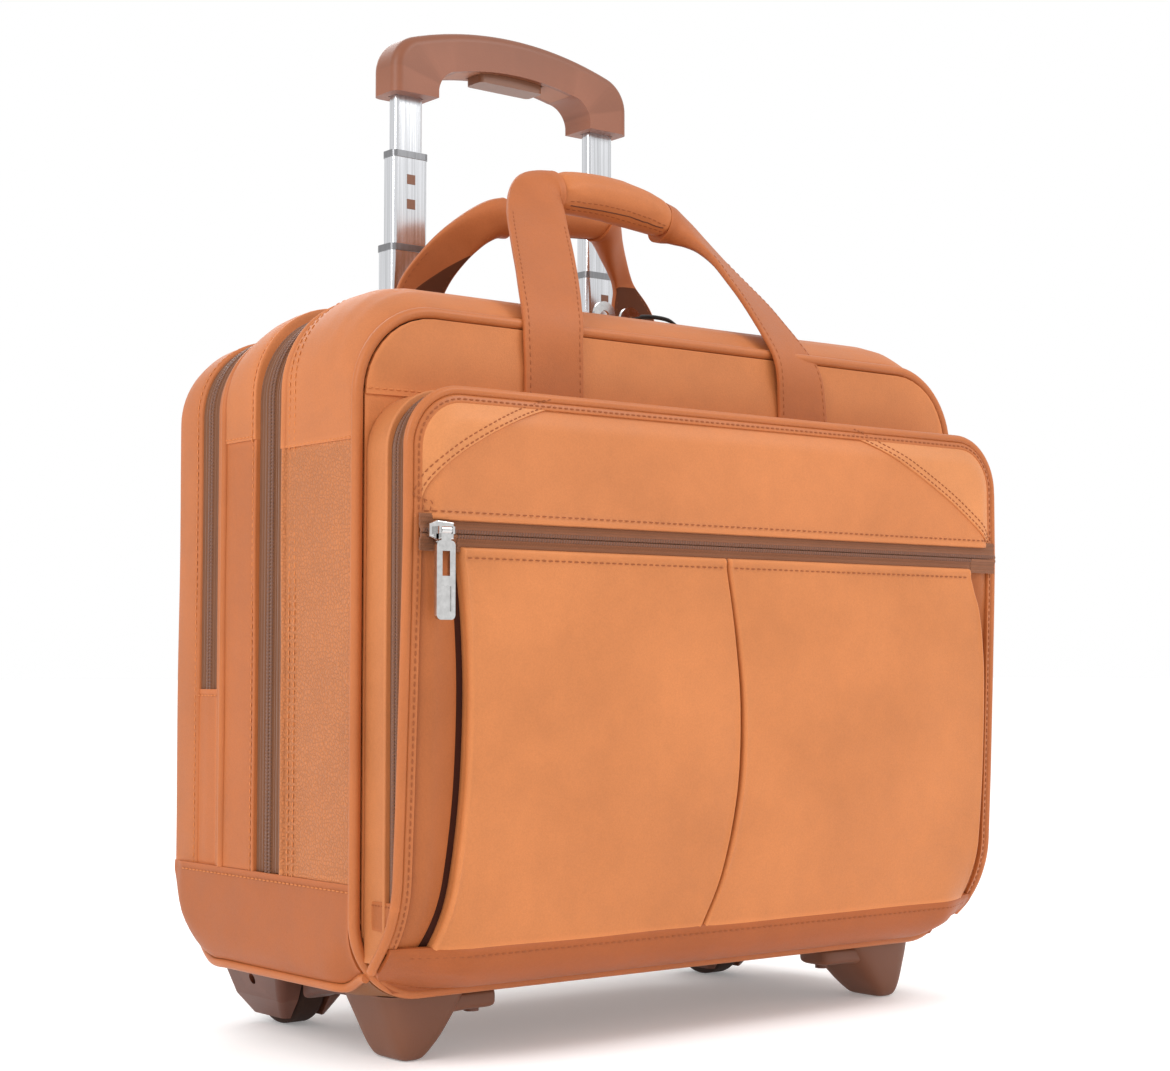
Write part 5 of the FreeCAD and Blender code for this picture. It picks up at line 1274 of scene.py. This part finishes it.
def strap_leg(name, stations, side, up, body, mat, rep, blend_pts, lining=None, per=7, n=40, stitch_to=0.62):
    """stations: centre x, y, z, twist, width, thickness, squareness, turn. The turn swings the width from across to `up`."""
    A = np.array(stations, float)
    n_sec = (len(A) - 1) * per + 1
    D = np.column_stack([dense(A[:, [c, c]], n_sec)[:, 0] for c in range(A.shape[1])])
    P = D[:, :3].copy()
    P[:, 0] *= side
    T = np.gradient(P, axis=0)
    T /= np.linalg.norm(T, axis=1)[:, None]
    verts, W, N = [], [], []
    edges = ([], [])
    for i in range(n_sec):
        tw, w, t, p, turn = D[i, 3:]
        turn = min(1.0, max(0.0, turn))
        a = math.radians(tw)
        wv = np.array([side * math.cos(a), math.sin(a), 0.0]) * (1 - turn) + up * turn
        wv -= T[i] * (wv @ T[i])
        wv /= np.linalg.norm(wv)
        nv = -side * np.cross(T[i], wv)
        W.append(wv)
        N.append(nv)
        p = max(2.0, p)
        for u, v in superellipse(w, t, p, n):
            verts.append(P[i] + wv * u + nv * (v - 0.10 * min(t, 5.0) * (1 - (2 * u / w) ** 2)))
        for k, sg in enumerate((-1, 1)):
            u = sg * (w / 2 - 2.7)
            h = t / 2 * (1 - abs(2 * u / w) ** p) ** (1 / p) - 0.10 * min(t, 5.0) * (1 - (2 * u / w) ** 2)
            edges[k].append(P[i] + wv * u + nv * h)
    faces = []
    for i in range(n_sec - 1):
        for j in range(n):
            j2 = (j + 1) % n
            faces.append((i * n + j, i * n + j2, (i + 1) * n + j2, (i + 1) * n + j))
    faces.append(tuple(range(n)))
    faces.append(tuple((n_sec - 1) * n + j for j in reversed(range(n))))
    ob = obj_from(name, verts, faces, body, mat, (), 55, ride=False)
    extra = []
    if lining is not None:                      # dark backing on the strap's face, ending in a slanted edge: its dark brown is partly the napped underside leather's own colour and partly painted shade, and the slanted edge paints where the twisted strap turns into shadow
        g, bk = [], []
        for i in range(n_sec):
            w, t, p = D[i, 4], D[i, 5], max(2.0, D[i, 6])
            lim = lining(P[i][2])
            if lim <= -0.44:
                continue
            row, rb = [], []
            for u in np.linspace(-0.465, min(0.465, lim), 12):
                h = t / 2 * (1 - abs(2 * u) ** p) ** (1 / p) - 0.10 * min(t, 5.0) * (1 - (2 * u) ** 2)
                row.append(P[i] + W[i] * u * w + N[i] * (h + 0.28))
                rb.append(P[i] + W[i] * u * w + N[i] * (h - 0.6))
            g.append(row)
            bk.append(rb)
        extra.append(slab(name + "_backing", np.array(g), 0, body, M["suede_and_shade"], back=np.array(bk), ride=False))
    pieces = [ob] + extra
    last = int(n_sec * stitch_to)
    for tag, e in (("a", edges[0]), ("b", edges[1])):
        pieces.append(stitches(name + "_stitch_" + tag, e[:last], np.array(N[:last]), body, mat=M["thread_dark"], ride=False,
                               w=0.30, h=0.24, lift=0.05))
    a, b = blend_pts
    for o in pieces:
        tuple(wm(a)[0])
        tuple(wm(b)[0])
        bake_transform(o)
    if rep:
        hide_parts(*rep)
    return pieces


FH = handle_frame(-4.9, 386.0, 42.8)
RH = handle_frame(138.6, 384.0, -13.1, -4.0, 10.0)
UP_F, UP_R = np.array([0.0, 0.679, 0.734]), np.array([0.0, -0.2267, 0.974])
FRONT_L = [
    (95.5, -5.0, 337.0, 0, 38.5, 3.2, 7, 0), (95.5, -5.0, 354.0, 0, 38.5, 3.2, 7, 0), (96.0, -5.0, 371.0, 1, 38.5, 3.2, 7, 0),
    (94.6, -2.6, 383.0, 2, 38.5, 3.4, 7, 0), (92.0, 2.8, 394.0, 3, 38.2, 3.5, 6, 0), (87.0, 11.5, 406.5, 4, 38, 3.6, 6, 0),
    (81.2, 22.0, 419.6, 5, 38, 3.8, 6, 0), (75.2, 33.0, 432.6, 6, 37.5, 4.2, 6, 0), (69.4, 43.6, 444.6, 7, 36.5, 5.2, 5, 0.05),
    (64.0, 52.0, 454.0, 8, 35, 8, 3.6, 0.25), (59.0, 59.0, 461.6, 8, 33, 13, 2.8, 0.55), (54.0, 64.6, 466.4, 8, 31, 20, 2.3, 0.85),
    (48.5, 67.4, 468.4, 8, 28.8, 25.5, 2.05, 1), (42.0, 68.2, 468.8, 8, 28.2, 28.2, 2, 1)]
FRONT_R = [
    (87.6, -5.0, 337.0, 0, 38.5, 3.2, 7, 0), (86.8, -5.0, 352.0, 2, 38.5, 3.2, 7, 0), (85.0, -5.0, 366.0, 5, 38.5, 3.2, 7, 0),
    (82.6, -2.0, 378.0, 10, 38.5, 3.4, 7, 0), (80.8, 6.0, 390.0, 14, 38.5, 3.5, 6, 0), (80.0, 16.0, 402.0, 18, 38, 3.6, 6, 0),
    (79.0, 27.0, 414.5, 22, 38, 3.8, 6, 0), (76.5, 39.0, 427.5, 27, 37, 4.2, 6, 0), (72.0, 49.0, 439.5, 31, 33, 5.2, 5, 0.05),
    (66.0, 57.0, 449.5, 30, 28, 7.5, 3.6, 0.25), (59.5, 62.5, 456.2, 28, 25.4, 12, 2.8, 0.55), (53.0, 66.0, 460.4, 20, 24.6, 17, 2.3, 0.85),
    (47.5, 67.8, 462.8, 18, 24.4, 22.4, 2.05, 1), (41.5, 68.4, 463.9, 18, 24.6, 24.6, 2, 1)]
strap_leg("front_strap_left", FRONT_L, -1, UP_F, "front_handle", M["strap"], ("front_handle_strap", "front_handle_anchors"),
          (FH(0, 0, -22.0), FH(0, 0, -2.0)))
strap_leg("front_strap_right", FRONT_R, 1, UP_F, "front_handle", M["strap"], (), (FH(0, 0, -22.0), FH(0, 0, -2.0)))
REAR_L = [
    (88.0, 138.5, 352.0, 0, 36, 3.2, 7, 0), (88.0, 138.5, 376.0, 0, 36, 3.2, 7, 0), (88.0, 138.5, 398.0, 0, 34, 3.2, 7, 0),
    (86.0, 137.6, 412.0, 2, 31, 3.4, 7, 0), (82.0, 136.0, 422.8, 4, 29, 3.5, 6, 0), (74.5, 132.0, 435.6, 6, 26, 4.0, 6, 0),
    (65.6, 128.0, 446.6, 8, 24, 6.5, 4.4, 0.25), (56.5, 123.5, 455.4, 8, 22.6, 11, 3, 0.6), (49.0, 120.6, 460.6, 8, 22.6, 16, 2.4, 0.9),
    (43.5, 119.0, 463.0, 8, 23.4, 20.5, 2.1, 1), (38.0, 118.4, 464.0, 8, 24.4, 24.4, 2, 1)]
REAR_R = [
    (84.0, 139.5, 352.0, 0, 38, 3.2, 7, 0), (84.0, 139.5, 376.0, 0, 38, 3.2, 7, 0), (83.0, 139.5, 398.0, 0, 38, 3.2, 7, 0),
    (80.0, 139.5, 414.0, 0, 35, 3.3, 7, 0), (74.6, 139.0, 427.0, 2, 27, 3.5, 6, 0), (70.4, 138.0, 437.0, 4, 16, 4.4, 5, 0),
    (66.0, 135.4, 443.0, 6, 13.5, 6.0, 4, 0.1), (59.6, 131.4, 449.4, 8, 15.5, 8.0, 3, 0.4), (51.5, 126.5, 457.0, 8, 19, 12, 2.5, 0.75),
    (44.5, 122.0, 464.0, 8, 22, 17, 2.2, 0.95), (39.5, 119.6, 468.3, 8, 23.6, 21.5, 2.05, 1), (35.0, 118.6, 470.2, 8, 24.4, 24.4, 2, 1)]
# the lining limits set how much of each rear strap's face carries the dark backing, which is underside colour with
# painted shade
strap_leg("rear_strap_left", REAR_L, -1, UP_R, "rear_handle", M["strap"], ("rear_handle_strap", "rear_handle_anchors"),
          (RH(0, 0, -6.0), RH(0, 0, 8.0)), lining=lambda z: 0.5 - (z - 398.0) / 51.0 * 0.95, stitch_to=0.5)
strap_leg("rear_strap_right", REAR_R, 1, UP_R, "rear_handle", M["strap"], (), (RH(0, 0, -6.0), RH(0, 0, 8.0)),
          lining=lambda z: 0.5 - max(0.0, z - 434.0) / 7.0, stitch_to=0.4)


def padded_roll(name, fr, s0, radf, dzf, half, body, mat, rep):
    """A stuffed roll: starts slim, is blown up by the cloth solver, then its seams are added."""
    n, K = 46, 32
    verts, faces = [], []

    def at(x, r, a):
        return fr(x, r * math.cos(a), s0 + r * math.sin(a)) + np.array([0.0, 0.0, dzf(x)])
    for i in range(n):
        u = i / (n - 1)
        x = -half + 2 * half * u
        end = min(u, 1 - u) * 2 * half
        r = (radf(x) - 1.6) * (0.80 + 0.20 * math.sqrt(min(1.0, end / 5.0)))
        for a in np.linspace(0, 2 * math.pi, K, endpoint=False):
            verts.append(wm(at(x, r, a))[0])
    for i in range(n - 1):
        for j in range(K):
            j2 = (j + 1) % K
            faces.append((i * K + j, i * K + j2, (i + 1) * K + j2, (i + 1) * K + j))
    faces.append(tuple(range(K)))
    faces.append(tuple((n - 1) * K + j for j in reversed(range(K))))
    ob = obj_from(name, verts, faces, body, mat, (), 0, ride=False, metres=True)
    rest = np.array([v.co for v in ob.data.vertices])
    rm = ob.modifiers.new("remesh", "REMESH")
    rm.mode = "VOXEL"
    rm.voxel_size = 0.0042
    dg = bpy.context.evaluated_depsgraph_get()
    me = bpy.data.meshes.new_from_object(ob.evaluated_get(dg))
    ob.modifiers.clear()
    ob.data = me
    rest = np.array([v.co for v in me.vertices])
    c = ob.modifiers.new("cloth", "CLOTH")
    c.settings.quality = 6
    c.settings.mass = 0.15
    c.settings.tension_stiffness = 12
    c.settings.compression_stiffness = 12
    c.settings.bending_stiffness = 2.0
    c.settings.use_pressure = True
    c.settings.uniform_pressure_force = 4.0
    c.settings.effector_weights.gravity = 0.0
    c.point_cache.frame_start, c.point_cache.frame_end = 1, 20
    for f in range(1, 21):
        SCENE.frame_set(f)
    dg = bpy.context.evaluated_depsgraph_get()
    got = np.array([v.co for v in ob.evaluated_get(dg).data.vertices])
    d = got - rest
    L = np.linalg.norm(d, axis=1)
    cap = 0.0030
    d *= np.minimum(1.0, cap / np.maximum(L, 1e-9))[:, None]
    ob.modifiers.clear()
    me.vertices.foreach_set("co", (rest + d).astype(np.float32).ravel())
    SCENE.frame_set(1)
    sub = ob.modifiers.new("subdivision", "SUBSURF")
    sub.levels = sub.render_levels = 1
    dg = bpy.context.evaluated_depsgraph_get()
    me = bpy.data.meshes.new_from_object(ob.evaluated_get(dg))
    ob.modifiers.clear()
    ob.data = me
    me.polygons.foreach_set("use_smooth", [True] * len(me.polygons))
    place(ob, body, mat, rep)
    # a seam along the underside with its two rows of stitches
    tree = BVHTree.FromPolygons([v.co.copy() for v in me.vertices], [tuple(f.vertices) for f in me.polygons])

    def skin(x, a, out):
        """Point on the stuffed surface, and the surface's direction there."""
        loc, nor, _, _ = tree.find_nearest(Vector(wm(at(x, radf(x) + 3.0, a))[0]))
        c = np.array(loc) * 1000.0 + np.array([0.0, MID, 0.0])
        away = at(x, 1.0, a) - at(x, 0.0, a)
        nv = np.array(nor) if np.array(nor) @ away > 0 else -np.array(nor)
        return c + nv * out, nv
    xs = np.linspace(-half + 8, half - 8, 40)
    for k, a in enumerate((-76, -104)):
        got = [skin(x, math.radians(a), 0.0) for x in xs]
        stitches(name + "_seam_%d" % k, [g[0] for g in got], [g[1] for g in got], body, mat=M["thread_dark"], w=0.32, h=0.26)
    tube(name + "_seam", [skin(x, math.radians(-90), -0.15)[0] for x in xs], 0.45, body, M["edge"], n=8)
    return ob


padded_roll("front_handle_roll", FH, 108.0, lambda x: 15.0 - (2.7 if x > 0 else 1.6) * abs(x / 46.0) ** 2.2,
            lambda x: 4.6 * (1 - (x / 46.0) ** 2) - 0.4 - 2.75 * x / 43.0, 43.0, "front_handle", M["roll"], ("front_handle_grip",))
padded_roll("rear_handle_roll", RH, 91.0, lambda x: 13.2 - 1.1 * abs(x / 42.0) ** 2.2,
            lambda x: 1.8 * (1 - (x / 42.0) ** 2) - 5.6 + 0.088 * x, 42.0, "rear_handle", M["roll"], ("rear_handle_grip",))

# ============================================================================ front feet: a smooth tapering post, a thin round-ended lug and a low rail
def ring_loft(name, rings, body, mat, rep_=(), p=4.5, axis="z", n=44):
    """rings: level, low a, high a, low b, high b; the two spans lie along the other two axes."""
    R = np.array(rings, float)
    m = (len(R) - 1) * 5 + 1
    D = np.column_stack([dense(R[:, [c, c]], m)[:, 0] for c in range(5)])
    v, f = [], []
    for lv, a0, a1, b0, b1 in D:
        for a, b in superellipse(a1 - a0, b1 - b0, p, n):
            q = ((a0 + a1) / 2 + a, (b0 + b1) / 2 + b)
            v.append((q[0], q[1], lv) if axis == "z" else ((lv, q[0], q[1]) if axis == "x" else (q[0], lv, q[1])))
    for i in range(m - 1):
        for j in range(n):
            j2 = (j + 1) % n
            f.append((i * n + j, i * n + j2, (i + 1) * n + j2, (i + 1) * n + j))
    f.append(tuple(range(n)))
    f.append(tuple((m - 1) * n + j for j in reversed(range(n))))
    return obj_from(name, v, f, body, mat, rep_, 60)


for sd, tag in ((-1, "left"), (1, "right")):
    def mx(a, b):
        return (a, b) if sd > 0 else (-b, -a)
    ring_loft("foot_post_" + tag, [(33.4, *mx(138.6, 190.6), 6.0, 57.0), (27.0, *mx(142.6, 188.6), 6.2, 54.0), (19.0, *mx(148.4, 185.8), 6.8, 50.5),
                                   (11.0, *mx(154.8, 183.2), 7.8, 46.5), (5.0, *mx(160.6, 180.8), 9.2, 43.0), (1.6, *mx(164.2, 178.8), 11.0, 40.0),
                                   (0.4, *mx(166.4, 176.6), 13.0, 38.0), (0.0, *mx(168.4, 174.6), 15.0, 36.0)], "root", M["foot"],
              ("foot_rails",) if sd < 0 else ())
    ring_loft("foot_lug_" + tag, [(sd * 119.0, 17.0, 29.0, 25.0, 30.0), (sd * 119.6, 14.0, 32.0, 23.4, 31.6), (sd * 121.6, 11.4, 34.6, 22.3, 32.6),
                                  (sd * 126.0, 10.4, 35.6, 22.0, 32.9), (sd * 136.0, 10.2, 36.4, 22.0, 32.9), (sd * 148.0, 10.0, 37.0, 21.4, 32.9)],
              "root", M["foot"], (), 4.0, "x")
    ring_loft("foot_rail_" + tag, [(44.0, *mx(150.0, 170.0), 18.0, 33.0), (60.0, *mx(150.6, 169.4), 21.4, 33.0), (82.0, *mx(151.0, 169.0), 24.0, 33.0),
                                   (104.0, *mx(150.6, 169.4), 22.0, 33.0), (121.0, *mx(150.0, 170.0), 18.0, 33.0)], "root", M["housing"], (), 5.0, "y")

# the trolley's square lock plugs keep their own brown
for _n in ("lower_collars", "middle_collars"):
    _o = NODES.get(_n)
    if _o is not None:
        _o.data.materials.append(M["collar"])
        _z = np.array([(_o.matrix_world @ f.center)[2] for f in _o.data.polygons])
        _top = _z.max()
        for f, z in zip(_o.data.polygons, _z):
            f.material_index = 1 if z < _top - 0.012 else 0

# black tail on the right main slider
tube("main_slider_tail", dense(np.array([(33.0, 84.0, 406.4), (41.0, 84.0, 408.6), (52.0, 84.2, 409.4), (62.0, 84.4, 408.6), (71.0, 84.6, 405.2)]), 30),
     [1.3] * 22 + [1.25, 1.15, 1.0, 0.9, 0.8, 0.7, 0.55, 0.4], "main_zip_slider_right", M["black"], n=10)

# ============================================================================ organizer zip's slider, kept low on the pocket's top
_o = NODES.get("organizer_slider")
if _o is not None:
    bb = np.array([list(_o.matrix_world @ Vector(c)) for c in _o.bound_box]) * 1000.0
    x0, x1 = bb[:, 0].min(), bb[:, 0].max()
    yc = (bb[:, 1].min() + bb[:, 1].max()) / 2 + MID
    v, f = [], []
    for k, (za, zb, ya, yb, xa, xb) in enumerate(((333.4, 336.0, -4.2, 4.2, x0, min(x1, x0 + 13.0)), (334.6, 336.4, -2.6, 2.6, x0 + 6.0, x1))):
        o = len(v)
        v += [(x, yc + y, z) for z in (za, zb) for x, y in ((xa, ya), (xb, ya), (xb, yb), (xa, yb))]
        f += [(o, o + 3, o + 2, o + 1), (o + 4, o + 5, o + 6, o + 7)] + [(o + i, o + (i + 1) % 4, o + 4 + (i + 1) % 4, o + 4 + i) for i in range(4)]
    ob = obj_from("organizer_slider_low", v, f, "organizer_zip_slider", M["nickel"], ("organizer_slider",), 30)
    b = ob.modifiers.new("edge_softening", "BEVEL")
    b.width, b.segments = 0.0006, 3

# ============================================================================ carried-over CAD pieces: soften their machined edges
for nm, w in (("wheel_housings", 0.0022), ("front_slider", 0.0003), ("front_pull", 0.0003), ("main_slider_left", 0.0003),
              ("main_slider_right", 0.0003), ("lower_collars", 0.0003), ("middle_collars", 0.0003), ("trolley_bezels", 0.0004),
              ("laptop_slider", 0.0003), ("grip_button", 0.0006)):
    o = NODES.get(nm)
    if o is not None:
        b = o.modifiers.new("edge_softening", "BEVEL")
        b.width = w
        b.segments = 3
        b.limit_method = "ANGLE"
        b.angle_limit = math.radians(35)
        b.harden_normals = False

# ============================================================================ stage, lights, camera
floor = bpy.data.objects.new("floor", bpy.data.meshes.new("floor"))
floor.data.from_pydata([(-30, -30, 0), (30, -30, 0), (30, 30, 0), (-30, 30, 0)], [], [(0, 1, 2, 3)])
SCENE.collection.objects.link(floor)
fm = Mat("pale_floor")
fnz = fm.noise(0.6, 2.0)
fm.set(Base_Color=fm.ramp(fnz, [(0.3, (0.93, 0.93, 0.93)), (0.7, (0.95, 0.95, 0.95))]), Roughness=0.9, Specular_IOR_Level=0.1)
fm.b.inputs["Emission Color"].default_value = (1, 1, 1, 1)
fm.b.inputs["Emission Strength"].default_value = 0.20
floor.data.materials.append(fm.m)

world = bpy.data.worlds.new("studio")
SCENE.world = world
world.use_nodes = True
world.node_tree.nodes["Background"].inputs[0].default_value = (1, 1, 1, 1)
world.node_tree.nodes["Background"].inputs[1].default_value = 1.0


def area(name, loc, target, size, power, rgb=(1, 1, 1)):
    d = bpy.data.lights.new(name, "AREA")
    d.shape = "RECTANGLE"
    d.size, d.size_y = size
    d.energy = power
    d.color = rgb
    o = bpy.data.objects.new(name, d)
    o.location = loc
    o.rotation_mode = "QUATERNION"
    o.rotation_quaternion = (Vector(target) - Vector(loc)).to_track_quat("-Z", "Y")
    SCENE.collection.objects.link(o)
    return o


area("key", (0.50, -0.80, 1.12), (0, 0, 0.28), (0.55, 0.45), 5.0)
area("side", (-1.5, -0.35, 1.15), (0, 0.05, 0.28), (0.7, 0.8), 11.0)
area("rim", (0.4, 1.7, 1.5), (0, 0, 0.3), (1.2, 0.6), 8.0)

cam = bpy.data.objects.new("camera", bpy.data.cameras.new("camera"))
cam.data.lens = 66.15
cam.data.sensor_width = 36.0
cam.location = (-0.787894, -0.964577, 0.197719)
yaw, pitch = 0.674, 0.0614
fw = Vector((math.sin(yaw) * math.cos(pitch), math.cos(yaw) * math.cos(pitch), math.sin(pitch)))
cam.rotation_mode = "QUATERNION"
cam.rotation_quaternion = fw.to_track_quat("-Z", "Y")
cam.data.clip_start = 0.01
cam.data.clip_end = 100
SCENE.collection.objects.link(cam)
SCENE.camera = cam
SCENE.view_settings.view_transform = "Standard"
SCENE.view_settings.look = "None"
